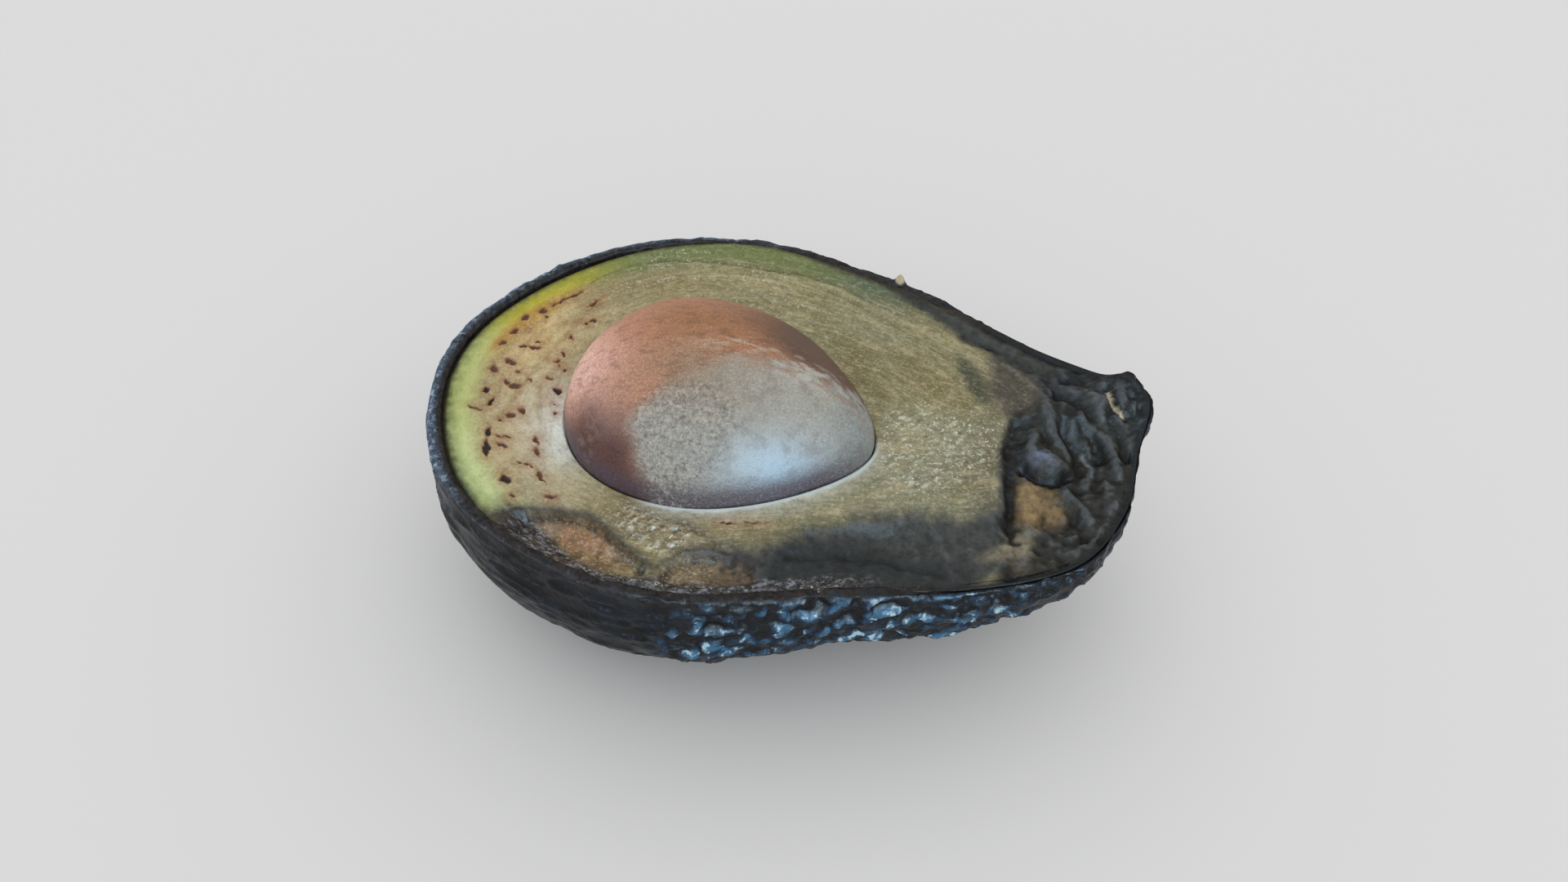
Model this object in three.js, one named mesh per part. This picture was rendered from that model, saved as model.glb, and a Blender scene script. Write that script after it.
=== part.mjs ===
// One half of a cut avocado with its seed, partly dried out at the stem end.
// Millimetres, +Z up. The half lies on a small flat spot with its cut face up.
// +X points along the fruit to the stem end. The origin is on the surface that the half
// rests on, below the middle of the fruit.
import * as THREE from 'three';

// ---------------------------------------------------------------- driving dimensions

// The outer edge of the rind, counter-clockwise from the stem end. The blunt end is almost
// a half circle, the neck draws in to a small raised knob, and the near side (-Y) has
// shrunk to a lower edge than the far side (+Y).
const RIM = [
  [50.6, 3.2, 28.6], [51.2, 10.2, 32.4], [46.4, 14.2, 31.6], [34.2, 19.0, 31.2],
  [20.2, 26.4, 31.4], [4.2, 32.2, 31.6], [-12.8, 34.74, 31.8], [-29.8, 30.4, 31.4],
  [-42.8, 19.5, 31.0], [-50.4, 5.2, 30.4], [-49.5, -9.3, 29.8], [-41.0, -23.4, 29.0],
  [-24.8, -32.2, 28.4], [-6.8, -33.8, 27.8], [12.2, -28.4, 27.0], [30.2, -23.2, 26.4],
  [43.6, -16.2, 26.2], [49.4, -6.3, 27.0],
];

const FOOT = [-9.0, 0.2];        // middle of the flat spot that the half rests on
const FLAT_CUT = 0.6;            // how much the flat spot takes off the round bottom
const SKIN = 1.3;                // thickness of the rind
const GAP = 0.3;                 // clearance between touching pieces

// The wall of the bowl is a superellipse from the rim to the foot. A larger exponent gives
// a fuller wall: the blunt end is fuller than the neck.
const BLUNT_FULLNESS = 2.35;
const NECK_FULLNESS = 2.0;
const NECK_START = -10;
const NECK_END = 50;
const SIDE_BULGE = 0.035;        // swelling of the wall below the rim, all round
const NEAR_BULGE = 0.075;        // more of it on the near side and the blunt end
const BULGE_SIDE = [-0.45, -0.9];

const SEED_AT = [-8.3, -2.4];    // middle of the seed
const SEED_LENGTH = 45.2;
const SEED_WIDTH = 34.8;
const SEED_LEVEL = 29.6;         // height of its widest outline
const SEED_RISE = 13.0;          // dome above that outline
const SEED_DEPTH = 15.0;         // seed below it, in the hollow
const SEED_POINT = 0.20;         // how much the outline narrows to its pointed end
const SEED_TAPER = 0.16;         // extra narrowing of the pointed half alone
const SEED_TURN = -6;            // degrees from +X
const SEED_LEAN = 0.04;          // the outline rises to the far side by this slope

const EDGE_DROP = 0.5;           // the flesh has shrunk this far below the rind's edge
const EDGE_DROP_END = 0.08;      // and reaches that depth this far in, as a share
const RELIEF_START = 0.1;        // the relief below fades out outside these two shares
const RELIEF_END = 0.85;

// Swellings (+) and sunken places (-) of the dried cut face: middle, half sizes, turn of
// the long side in degrees, and height.
const RELIEF = [
  { at: [-21.5, -27.2], half: [9.0, 3.0], turn: -8, lift: -2.2 },   // hollow at the near left
  { at: [-2.0, -26.6], half: [6.0, 2.4], turn: 5, lift: -1.6 },     // hollow beside it
  { at: [-19.0, -23.2], half: [9.0, 1.6], turn: -6, lift: 0.7 },    // ridge over both
  { at: [17.5, -17.6], half: [13.0, 4.2], turn: 14, lift: -2.6 },   // sunken near side of the neck
  { at: [34.2, -4.8], half: [1.5, 11.0], turn: 4, lift: -1.6 },     // crease across the neck
  { at: [39.2, -9.0], half: [3.4, 4.6], turn: 0, lift: -1.8 },      // pocket past the crease
  { at: [38.4, -0.8], half: [2.6, 1.8], turn: -20, lift: 1.8 },     // fold over the pocket
  { at: [44.0, 4.5], half: [3.5, 4.5], turn: 0, lift: -1.2 },       // dip before the knob
];

// How finely the surfaces are divided.
const AROUND = RIM.length * 4;
const WALL_STEPS = 10;
const FACE_STEPS = 14;
const FACE_CROWDING = 1.3;       // rings of the cut face stand closer near the rind
const HOLLOW_STEPS = 6;
const SEED_AROUND = 44;
const SEED_STEPS = 18;

// ---------------------------------------------------------------- small helpers

const mix = (a, b, share) => a + (b - a) * share;
const radians = THREE.MathUtils.degToRad;
const smooth = THREE.MathUtils.smoothstep;

// A closed body from closed rings of points, each a step further along it. The first and
// the last ring are single points.
function loft(rings) {
  const position = rings.flat(2);
  const index = [];
  let start = 0;
  for (let r = 0; r < rings.length - 1; r++) {
    const here = rings[r].length;
    const next = rings[r + 1].length;
    const count = Math.max(here, next);
    for (let i = 0; i < count; i++) {
      const j = (i + 1) % count;
      const a = start + (here > 1 ? i : 0);
      const b = start + (here > 1 ? j : 0);
      const c = start + here + (next > 1 ? j : 0);
      const d = start + here + (next > 1 ? i : 0);
      if (here > 1) index.push(a, b, c);
      if (next > 1) index.push(a, c, d);
    }
    start += here;
  }
  const geometry = new THREE.BufferGeometry();
  geometry.setAttribute('position', new THREE.Float32BufferAttribute(position, 3));
  geometry.setIndex(index);
  geometry.computeVertexNormals();
  return geometry;
}

const ringOf = (count, point) => Array.from({ length: count }, (_, i) => point(i / count));

// ---------------------------------------------------------------- rim and bowl

const rimCurve = new THREE.CatmullRomCurve3(
  RIM.map((p) => new THREE.Vector3(...p)), true, 'catmullrom', 0.5);

// The rim, moved inwards by a distance in plan.
function rim(turn, inset) {
  const p = rimCurve.getPoint(turn);
  const ahead = rimCurve.getPoint((turn + 0.002) % 1);
  const behind = rimCurve.getPoint((turn + 0.998) % 1);
  const along = ahead.sub(behind).setZ(0).normalize();
  return [p.x - along.y * inset, p.y + along.x * inset, p.z];
}

// The superellipse exponent at a place along the fruit.
function fullness(x) {
  const share = THREE.MathUtils.clamp((x - NECK_START) / (NECK_END - NECK_START), 0, 1);
  return mix(BLUNT_FULLNESS, NECK_FULLNESS, share);
}

// A point of the wall: angle 0 is at the rim and a quarter turn is at the foot.
function wall(turn, angle, inset) {
  const [x, y, top] = rim(turn, inset);
  const power = 2 / fullness(x);
  const out = Math.cos(angle) ** power;
  const down = Math.sin(angle) ** power;
  const dx = x - FOOT[0];
  const dy = y - FOOT[1];
  const near = (dx * BULGE_SIDE[0] + dy * BULGE_SIDE[1]) / Math.hypot(dx, dy);
  const bulge = SIDE_BULGE + NEAR_BULGE * THREE.MathUtils.clamp(near, 0, 1);
  const reach = out * (1 + bulge * Math.sin(2 * angle));
  return [FOOT[0] + dx * reach, FOOT[1] + dy * reach, top - (top + FLAT_CUT - inset) * down];
}

// The angle at which the outer wall comes down to the flat spot.
function flatAngle(turn) {
  const [x, , top] = rim(turn, 0);
  return Math.asin((top / (top + FLAT_CUT)) ** (fullness(x) / 2));
}

const footPoint = (inset) => [[FOOT[0], FOOT[1], inset - FLAT_CUT]];

// Rings of an inner wall from just above the foot up to the rim.
function innerRings(inset) {
  const rings = [];
  for (let k = WALL_STEPS - 1; k >= 0; k--) {
    const angle = (Math.PI / 2) * (k / WALL_STEPS);
    rings.push(ringOf(AROUND, (turn) => wall(turn, angle, inset)));
  }
  return rings;
}

function skinGeometry() {
  const rings = [[[FOOT[0], FOOT[1], 0]]];
  for (let k = WALL_STEPS; k >= 0; k--) {
    rings.push(ringOf(AROUND, (turn) => {
      const [x, y, z] = wall(turn, flatAngle(turn) * (k / WALL_STEPS), 0);
      return [x, y, k === WALL_STEPS ? 0 : z];
    }));
  }
  return loft([...rings, ...innerRings(SKIN).reverse(), footPoint(SKIN)]);
}

// ---------------------------------------------------------------- seed

const seedTurn = { cos: Math.cos(radians(SEED_TURN)), sin: Math.sin(radians(SEED_TURN)) };

// A point of the seed's surface, grown by a margin. Round runs from the pointed end
// counter-clockwise, and lift runs from -90 degrees at the bottom to 90 at the top.
function seedPoint(round, lift, margin) {
  const ahead = Math.cos(round);
  const along = (SEED_LENGTH / 2 + margin) * ahead * Math.cos(lift);
  const narrow = 1 - SEED_POINT * ahead - SEED_TAPER * Math.max(ahead, 0) ** 2;
  const across = (SEED_WIDTH / 2 + margin) * Math.sin(round) * narrow * Math.cos(lift);
  const dx = along * seedTurn.cos - across * seedTurn.sin;
  const dy = along * seedTurn.sin + across * seedTurn.cos;
  const reach = lift > 0 ? SEED_RISE + margin : SEED_DEPTH + margin;
  const z = SEED_LEVEL + SEED_LEAN * dy + reach * Math.sin(lift);
  return [SEED_AT[0] + dx, SEED_AT[1] + dy, z];
}

function seedGeometry() {
  const rings = [];
  for (let k = 0; k <= SEED_STEPS; k++) {
    const lift = Math.PI * (k / SEED_STEPS - 0.5);
    const pole = k === 0 || k === SEED_STEPS;
    rings.push(ringOf(pole ? 1 : SEED_AROUND, (turn) => seedPoint(turn * 2 * Math.PI, lift, 0)));
  }
  return loft(rings);
}

// ---------------------------------------------------------------- flesh

// The angle round the seed that faces a point.
function facing(x, y) {
  const dx = x - SEED_AT[0];
  const dy = y - SEED_AT[1];
  const along = dx * seedTurn.cos + dy * seedTurn.sin;
  const across = dy * seedTurn.cos - dx * seedTurn.sin;
  return Math.atan2(across / SEED_WIDTH, along / SEED_LENGTH);
}

// Sum of the swellings and sunken places at a point.
function relief(x, y) {
  return RELIEF.reduce((sum, { at, half, turn, lift }) => {
    const c = Math.cos(radians(turn));
    const s = Math.sin(radians(turn));
    const u = ((x - at[0]) * c + (y - at[1]) * s) / half[0];
    const v = ((y - at[1]) * c - (x - at[0]) * s) / half[1];
    return sum + lift * Math.exp(-(u * u + v * v));
  }, 0);
}

// A point of the cut face: share 0 is at the rind and 1 is at the seed's hollow.
function facePoint(turn, share) {
  const edge = rim(turn, SKIN + GAP);
  const seat = seedPoint(facing(edge[0], edge[1]), 0, GAP);
  const x = mix(edge[0], seat[0], share);
  const y = mix(edge[1], seat[1], share);
  const level = mix(edge[2], seat[2], smooth(share, 0, 1));
  const drop = EDGE_DROP * smooth(share, 0, EDGE_DROP_END) * (1 - share);
  const fade = smooth(share, 0, RELIEF_START) * (1 - smooth(share, RELIEF_END, 1));
  return [x, y, level - drop + relief(x, y) * fade];
}

function fleshGeometry() {
  const rings = [footPoint(SKIN + GAP), ...innerRings(SKIN + GAP)];
  for (let k = 1; k < FACE_STEPS; k++) {
    rings.push(ringOf(AROUND, (turn) => facePoint(turn, (k / FACE_STEPS) ** FACE_CROWDING)));
  }
  const hollow = (turn, lift) => {
    const edge = rim(turn, SKIN + GAP);
    return seedPoint(facing(edge[0], edge[1]), lift, GAP);
  };
  for (let k = 0; k < HOLLOW_STEPS; k++) {
    const lift = (-Math.PI / 2) * (k / HOLLOW_STEPS);
    rings.push(ringOf(AROUND, (turn) => hollow(turn, lift)));
  }
  rings.push([hollow(0, -Math.PI / 2)]);
  return loft(rings);
}

// ---------------------------------------------------------------- the half, assembled

const skinMaterial = new THREE.MeshStandardMaterial({ color: 0x1e262d, roughness: 0.38, metalness: 0 });
const fleshMaterial = new THREE.MeshStandardMaterial({ color: 0x8f8552, roughness: 0.5, metalness: 0 });
const seedMaterial = new THREE.MeshStandardMaterial({ color: 0x80604f, roughness: 0.55, metalness: 0 });

function piece(name, geometry, material) {
  const mesh = new THREE.Mesh(geometry, material);
  mesh.name = name;
  return mesh;
}

const avocadoHalf = new THREE.Group();
avocadoHalf.add(
  piece('skin', skinGeometry(), skinMaterial),
  piece('flesh', fleshGeometry(), fleshMaterial),
  piece('seed', seedGeometry(), seedMaterial),
);

export default avocadoHalf;
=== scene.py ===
# %% [markdown]
# # Half an avocado, cut and left to dry
# The fruit is one half of an avocado, cut some days ago: a dark pebbled rind, khaki flesh that
# has browned and shrunk, and the seed still in its hollow. The CAD frame gives three plain
# solids in their right places. This lesson builds each one again as a fine mesh, paints it
# from simple rules and gives it a finish.

# %% Load the frame
import math

import bpy
import numpy as np
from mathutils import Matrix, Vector, noise


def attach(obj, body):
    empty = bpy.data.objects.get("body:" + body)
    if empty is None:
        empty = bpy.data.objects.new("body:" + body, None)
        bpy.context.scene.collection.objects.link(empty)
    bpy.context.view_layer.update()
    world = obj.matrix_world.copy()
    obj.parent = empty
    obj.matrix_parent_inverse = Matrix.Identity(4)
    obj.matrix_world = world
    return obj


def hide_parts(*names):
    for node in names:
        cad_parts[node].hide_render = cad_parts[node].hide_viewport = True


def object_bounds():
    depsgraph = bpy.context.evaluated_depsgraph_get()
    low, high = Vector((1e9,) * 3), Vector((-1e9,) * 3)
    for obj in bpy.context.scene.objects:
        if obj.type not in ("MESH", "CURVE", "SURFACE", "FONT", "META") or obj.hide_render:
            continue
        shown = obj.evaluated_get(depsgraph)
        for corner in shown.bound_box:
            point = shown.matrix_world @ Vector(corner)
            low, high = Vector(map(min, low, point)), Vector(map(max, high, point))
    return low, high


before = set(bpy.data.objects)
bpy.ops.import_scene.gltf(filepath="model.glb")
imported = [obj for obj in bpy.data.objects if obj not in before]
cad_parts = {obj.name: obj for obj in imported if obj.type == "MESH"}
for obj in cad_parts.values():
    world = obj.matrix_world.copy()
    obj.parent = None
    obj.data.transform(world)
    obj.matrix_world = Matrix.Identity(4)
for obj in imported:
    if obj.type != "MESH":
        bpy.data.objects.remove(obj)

MM = 0.001
cad_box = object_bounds()
low, high = (np.array(corner) / MM for corner in cad_box)
print("CAD box in mm:", low.round(2), high.round(2))

# %% [markdown]
# ## Camera
# The fruit is seen from above its near side, a little from the right. A wide field at a short
# distance gives the strong perspective of a close view. The camera comes first, because every
# later choice of detail depends on how large a millimetre is in the picture.

# %% Camera
FIELD_OF_VIEW = math.radians(45)      # top to bottom
AZIMUTH = math.radians(12.5)
ELEVATION = math.radians(48)
DISTANCE = 160                        # mm, from the point that it looks at
AIM_OFFSET = (0.15, 1.25, 0.2)        # mm, from the middle of the fruit to that point
PICTURE_SHAPE = 16 / 9
CLIP_START = 0.005                    # m, well short of the fruit

middle = (low + high) / 2
target = Vector(middle + AIM_OFFSET) * MM
back = Vector((math.sin(AZIMUTH) * math.cos(ELEVATION),
               -math.cos(AZIMUTH) * math.cos(ELEVATION),
               math.sin(ELEVATION)))

camera_data = bpy.data.cameras.new("camera")
camera_data.lens = camera_data.sensor_width / 2 / (math.tan(FIELD_OF_VIEW / 2) * PICTURE_SHAPE)
camera_data.clip_start = CLIP_START
camera = bpy.data.objects.new("camera", camera_data)
camera.location = target + back * DISTANCE * MM
camera.rotation_euler = (-back).to_track_quat("-Z", "Y").to_euler()
bpy.context.collection.objects.link(camera)
bpy.context.scene.camera = camera
print("lens in mm:", round(camera_data.lens, 2))

# %% [markdown]
# ## Helpers for shapes
# Natural surfaces are smooth shapes with random relief on top. A few small helpers are enough:
# a soft step, soft noise, a cell pattern, the distance from every point to a drawn line, and
# whether a point lies inside an outline. They work on whole arrays of points in millimetres.

# %% Soft steps and mixes
def smooth(value, low_end, high_end):
    """0 below low_end, 1 above high_end, and an S-curve in between."""
    share = np.clip((value - low_end) / (high_end - low_end), 0, 1)
    return share * share * (3 - 2 * share)


def mix(a, b, share):
    return a + (b - a) * share


def unit(vectors):
    return vectors / np.linalg.norm(vectors, axis=-1, keepdims=True)


# %% Noise
PATTERN_STEP = np.array([17.3, 5.9, 11.7])     # moves each pattern to its own part of the noise


def waves(points, size, octaves=3, pattern=0):
    """Soft random relief from about -1 to 1, with features of about this size."""
    moved = points.reshape(-1, 3) / size + pattern * PATTERN_STEP
    values = [noise.fractal(p, 1.0, 2.0, octaves) for p in moved.tolist()]
    return np.array(values).reshape(points.shape[:-1])


def cells(points, size, pattern=0):
    """For a pattern of rounded cells: 0 at each cell's middle, about 1 on the border."""
    moved = points.reshape(-1, 3) / size + pattern * PATTERN_STEP
    near = np.array([noise.voronoi(p)[0][:2] for p in moved.tolist()])
    return (near[:, 0] / (near[:, 1] + 1e-6)).reshape(points.shape[:-1])


# %% Drawn lines and outlines
def line_distance(x, y, line):
    """Distance in plan from each point to a drawn line."""
    nearest = np.full(x.shape, 1e9)
    for (ax, ay), (bx, by) in zip(line[:-1], line[1:]):
        dx, dy = bx - ax, by - ay
        share = np.clip(((x - ax) * dx + (y - ay) * dy) / (dx * dx + dy * dy), 0, 1)
        nearest = np.minimum(nearest, np.hypot(x - ax - share * dx, y - ay - share * dy))
    return nearest


def near_line(x, y, line, width):
    """1 on a drawn line, and a soft fall to 0 over about twice this width."""
    return np.exp(-(line_distance(x, y, line) / width) ** 2)


def inside(x, y, outline, softness):
    """1 inside a drawn outline, 0 outside it, with a soft edge."""
    crossings = np.zeros(x.shape, int)
    closed = outline + outline[:1]
    for (ax, ay), (bx, by) in zip(closed[:-1], closed[1:]):
        between = (ay > y) != (by > y)
        with np.errstate(divide="ignore", invalid="ignore"):
            at = ax + (y - ay) * (bx - ax) / (by - ay)
        crossings += between & (x < at)
    side = np.where(crossings % 2 == 1, 1, -1)
    return smooth(side * line_distance(x, y, closed), -softness, softness)


# %% [markdown]
# ## The fruit's shape
# The rind's cut edge is one closed curve, and the bowl below it is a superellipse that runs
# from the edge to a small flat foot. These are the same driving dimensions as in the CAD part,
# so that the fine meshes lie where the solids do.

# %% Driving dimensions
RIM = np.array([
    (50.6, 3.2, 28.6), (51.2, 10.2, 32.4), (46.4, 14.2, 31.6), (34.2, 19.0, 31.2),
    (20.2, 26.4, 31.4), (4.2, 32.2, 31.6), (-12.8, 34.74, 31.8), (-29.8, 30.4, 31.4),
    (-42.8, 19.5, 31.0), (-50.4, 5.2, 30.4), (-49.5, -9.3, 29.8), (-41.0, -23.4, 29.0),
    (-24.8, -32.2, 28.4), (-6.8, -33.8, 27.8), (12.2, -28.4, 27.0), (30.2, -23.2, 26.4),
    (43.6, -16.2, 26.2), (49.4, -6.3, 27.0),
])
FOOT = np.array([-9.0, 0.2])
FLAT_CUT = 0.6
SKIN = 1.3
GAP = 0.3                 # mm, between one piece and the next
BLUNT_FULLNESS, NECK_FULLNESS = 2.35, 2.0
NECK_START, NECK_END = -10, 50
SIDE_BULGE, NEAR_BULGE = 0.035, 0.075
BULGE_SIDE = np.array([-0.45, -0.9])

SEED_AT = np.array([-8.3, -2.4])
SEED_LENGTH, SEED_WIDTH = 45.2, 34.8
SEED_LEVEL, SEED_RISE, SEED_DEPTH = 29.6, 13.0, 15.0
SEED_POINT, SEED_TAPER = 0.20, 0.16
SEED_TURN = math.radians(-6)
SEED_LEAN = 0.04

# Soft swellings and dips of the cut face: place, half sizes, turn in degrees, lift.
RELIEF = [
    ((-21.5, -27.2), (9.0, 3.0), -8, -2.2),
    ((-2.0, -26.6), (6.0, 2.4), 5, -1.6),
    ((-19.0, -23.2), (9.0, 1.6), -6, 0.7),
    ((17.5, -17.6), (13.0, 4.2), 14, -2.6),
    ((34.2, -4.8), (1.5, 11.0), 4, -1.6),
    ((39.2, -9.0), (3.4, 4.6), 0, -1.8),
    ((38.4, -0.8), (2.6, 1.8), -20, 1.8),
    ((44.0, 4.5), (3.5, 4.5), 0, -1.2),
]

# %% Rim and wall
NEARBY = 0.002            # of a turn, to each side of a point, to find the rim's direction there


def rim_curve(turn):
    """The Catmull-Rom curve through the rim's points; one full turn goes once round it."""
    count = len(RIM)
    place = (turn % 1.0) * count
    first = np.floor(place).astype(int)
    f = (place - first)[..., None]
    p0, p1, p2, p3 = (RIM[(first + k) % count] for k in (-1, 0, 1, 2))
    bend = 2 * p0 - 5 * p1 + 4 * p2 - p3
    return 0.5 * (2 * p1 + (p2 - p0) * f + bend * f ** 2 + (3 * p1 - p0 - 3 * p2 + p3) * f ** 3)


def rim(turn, inset):
    """The rim moved inwards in plan."""
    along = rim_curve(turn + NEARBY) - rim_curve(turn - NEARBY)
    along = unit(along * (1, 1, 0))
    inwards = np.stack([-along[..., 1], along[..., 0], np.zeros(turn.shape)], -1)
    return rim_curve(turn) + inwards * np.asarray(inset)[..., None]


def fullness(x):
    """How square the bowl's section is: fuller at the blunt end."""
    toward_neck = np.clip((x - NECK_START) / (NECK_END - NECK_START), 0, 1)
    return mix(BLUNT_FULLNESS, NECK_FULLNESS, toward_neck)


def wall(turn, angle, inset):
    """The bowl: angle 0 is at the rim and a quarter turn is at the foot."""
    edge = rim(turn, inset)
    power = 2 / fullness(edge[..., 0])
    out, down = np.cos(angle) ** power, np.sin(angle) ** power
    reach = edge[..., :2] - FOOT
    near = np.clip(unit(reach) @ BULGE_SIDE, 0, 1)
    swell = 1 + (SIDE_BULGE + NEAR_BULGE * near) * np.sin(2 * angle)
    plan = FOOT + reach * (out * swell)[..., None]
    height = edge[..., 2] - (edge[..., 2] + FLAT_CUT - inset) * down
    return np.concatenate([plan, height[..., None]], -1)


def flat_angle(turn):
    """The angle at which the outer wall reaches the flat foot."""
    edge = rim(turn, 0)
    return np.arcsin((edge[..., 2] / (edge[..., 2] + FLAT_CUT)) ** (fullness(edge[..., 0]) / 2))


# %% Seed surface and cut face
def seed_point(around, lift, margin):
    """The egg-shaped seed: around starts at its pointed end, lift is a quarter turn at the top."""
    ahead = np.cos(around)
    along = (SEED_LENGTH / 2 + margin) * ahead * np.cos(lift)
    narrow = 1 - SEED_POINT * ahead - SEED_TAPER * np.maximum(ahead, 0) ** 2
    across = (SEED_WIDTH / 2 + margin) * np.sin(around) * narrow * np.cos(lift)
    dx = along * math.cos(SEED_TURN) - across * math.sin(SEED_TURN)
    dy = along * math.sin(SEED_TURN) + across * math.cos(SEED_TURN)
    reach = np.where(lift > 0, SEED_RISE, SEED_DEPTH) + margin
    height = SEED_LEVEL + SEED_LEAN * dy + reach * np.sin(lift)
    return np.stack([SEED_AT[0] + dx, SEED_AT[1] + dy, height], -1)


def facing(x, y):
    """The angle round the seed that faces a point."""
    dx, dy = x - SEED_AT[0], y - SEED_AT[1]
    along = dx * math.cos(SEED_TURN) + dy * math.sin(SEED_TURN)
    across = dy * math.cos(SEED_TURN) - dx * math.sin(SEED_TURN)
    return np.arctan2(across / SEED_WIDTH, along / SEED_LENGTH)


def swell(x, y, at, half, turn, lift):
    """One soft swelling or dip of the cut face."""
    c, s = math.cos(math.radians(turn)), math.sin(math.radians(turn))
    u = ((x - at[0]) * c + (y - at[1]) * s) / half[0]
    v = ((y - at[1]) * c - (x - at[0]) * s) / half[1]
    return lift * np.exp(-(u * u + v * v))


# %% [markdown]
# ## Meshes from rings
# Every piece is a stack of closed rings between two end points, like a barrel. A regular net of
# rings is easy to displace, and each point knows its place on the fruit, which the painting
# uses.

# %% Build a closed mesh from rings
def ring_mesh(name, first, rings, last):
    """A closed mesh: an end point, rings of points with the same count, and an end point."""
    rows, count = rings.shape[:2]
    points = np.vstack([[first], rings.reshape(-1, 3), [last]])
    here = np.arange(count)
    after = (here + 1) % count
    below = 1 + np.arange(rows - 1)[:, None] * count
    above = below + count
    quads = np.stack([below + here, below + after, above + after, above + here], -1)
    top = 1 + (rows - 1) * count
    fans = [(0, 1 + b, 1 + a) for a, b in zip(here, after)]
    fans += [(len(points) - 1, top + a, top + b) for a, b in zip(here, after)]
    mesh = bpy.data.meshes.new(name)
    mesh.from_pydata((points * MM).tolist(), [], quads.reshape(-1, 4).tolist() + fans)
    mesh.update()
    mesh.shade_smooth()
    piece = bpy.data.objects.new(name, mesh)
    bpy.context.collection.objects.link(piece)
    print(f"{name}: {len(mesh.polygons)} faces")
    return piece


def store(piece, name, values):
    """Keeps a number or a vector at each point. The end points take their neighbour's."""
    is_vector = values.ndim == 3
    flat = values.reshape(-1, values.shape[-1]) if is_vector else values.reshape(-1)
    padded = np.concatenate([flat[:1], flat, flat[-1:]]).astype(np.float32)
    kind, field = ("FLOAT_VECTOR", "vector") if is_vector else ("FLOAT", "value")
    piece.data.attributes.new(name, kind, "POINT").data.foreach_set(field, padded.ravel())


def normals_of(rings):
    """Outward directions on a net of rings."""
    along = np.roll(rings, -1, axis=1) - np.roll(rings, 1, axis=1)
    up = np.gradient(rings, axis=0)
    return unit(np.cross(along, up) + 1e-12)


def blurred(values, reach):
    """The average of a net's values over the near rings and points."""
    for axis in (0, 1):
        total = values.copy()
        for step in range(1, reach + 1):
            for way in (-step, step):
                moved = np.roll(values, way, axis)
                if axis == 0 and way > 0:
                    moved[:way] = values[0]
                if axis == 0 and way < 0:
                    moved[way:] = values[-1]
                total = total + moved
        values = total / (2 * reach + 1)
    return values


# %% [markdown]
# ## The rind
# A ripe rind is nearly black and covered in low pebbles. Drying has also dented it, and the near
# side shows bright highlights, which are partly painted on. The pebbles are real relief in the
# mesh, because they break up the outline and the highlights. Only the grain finer than half a
# millimetre is left to the shader.

# %% Rind: rings of the bare shape
RIND_AROUND = 720
RIND_ROWS = 96
LIP_ROWS = 7
INNER_ROWS = 6
LIP_CROWN = 0.45          # mm, how far the cut edge of the rind stands up
DRIED_ON = 0.3            # the share of the crown that is left where the flesh dried on to it
EVEN_ROWS = 1.17          # evens out the spacing of rings on a superellipse

turn = np.arange(RIND_AROUND) / RIND_AROUND


def even(share):
    """Moves rings towards both ends of the wall, where a superellipse spreads them."""
    a, b = share ** EVEN_ROWS, (1 - share) ** EVEN_ROWS
    return a / (a + b)


def shrinkage(turn):
    """How far the flesh has pulled away from the rind: 1 at the blunt end, 0 where it dried on."""
    at = rim_curve(turn)
    return smooth(-at[..., 0], 12, 40) * smooth(at[..., 1], -29, -24)


outer_share = np.linspace(1, 0, RIND_ROWS)[:, None]
outer_turn = turn + 0 * outer_share
outer = wall(outer_turn, even(outer_share) * flat_angle(turn), 0 * outer_turn)
outer[0, :, 2] = 0
lip_angle = (np.pi * np.arange(1, LIP_ROWS + 1) / (LIP_ROWS + 1))[:, None] + 0 * turn
lip = rim(turn + 0 * lip_angle, SKIN / 2 * (1 - np.cos(lip_angle)))
lip[..., 2] += LIP_CROWN * mix(DRIED_ON, 1, shrinkage(turn)) * np.sin(lip_angle)
inner_angle = (np.pi / 2 * np.arange(INNER_ROWS) / INNER_ROWS)[:, None] + 0 * turn
inner = wall(turn + 0 * inner_angle, inner_angle, SKIN + 0 * inner_angle)
rind_rings = np.concatenate([outer, lip, inner])
shown_rows = RIND_ROWS + LIP_ROWS
print("rind net:", rind_rings.shape[:2])

# %% Rind: where it is lumpy, calm or bulging
shown = rind_rings[:shown_rows]
side = unit(shown[..., :2] - FOOT)
along_x, height = shown[..., 0], shown[..., 2]
lumpy_side = smooth(side[..., 0] * 0.45 - side[..., 1], 0.35, 0.95) * smooth(along_x, -16, -2)
lumpy_side *= smooth(height, 8, 16)
calm_side = smooth(-side[..., 0] * 0.6 - side[..., 1], 0.5, 0.9) * smooth(along_x, -2, -16)
left_side = smooth(-along_x, 22, 44)
near_low = smooth(-side[..., 1], 0.3, 0.8) * smooth(height, 18, 10)
lip_calm, lip_fade = (
    np.concatenate([np.ones(RIND_ROWS), np.linspace(*ends, LIP_ROWS)])[:, None]
    for ends in ((0.5, 0.2), (0.9, 0.2)))
spread = (0.15 * smooth(-along_x, -40, -15) + 0.55 * left_side + 0.35 * near_low) * lip_fade
print("the wall bulges by up to", spread.max().round(2), "mm")

# %% Rind: pebbles, lumps and creases
# Heights in mm. The two sinks bring the relief's average back to the bare shape.
PEBBLE, SMALL_PEBBLE, LUMP, DENT, CREASE, WRINKLE = 0.45, 0.16, 0.95, 0.50, 0.45, 0.10
SINK, LUMPY_SINK = 0.32, 0.23
pebbly = 0.7 + 0.3 * lumpy_side - 0.65 * calm_side

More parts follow.
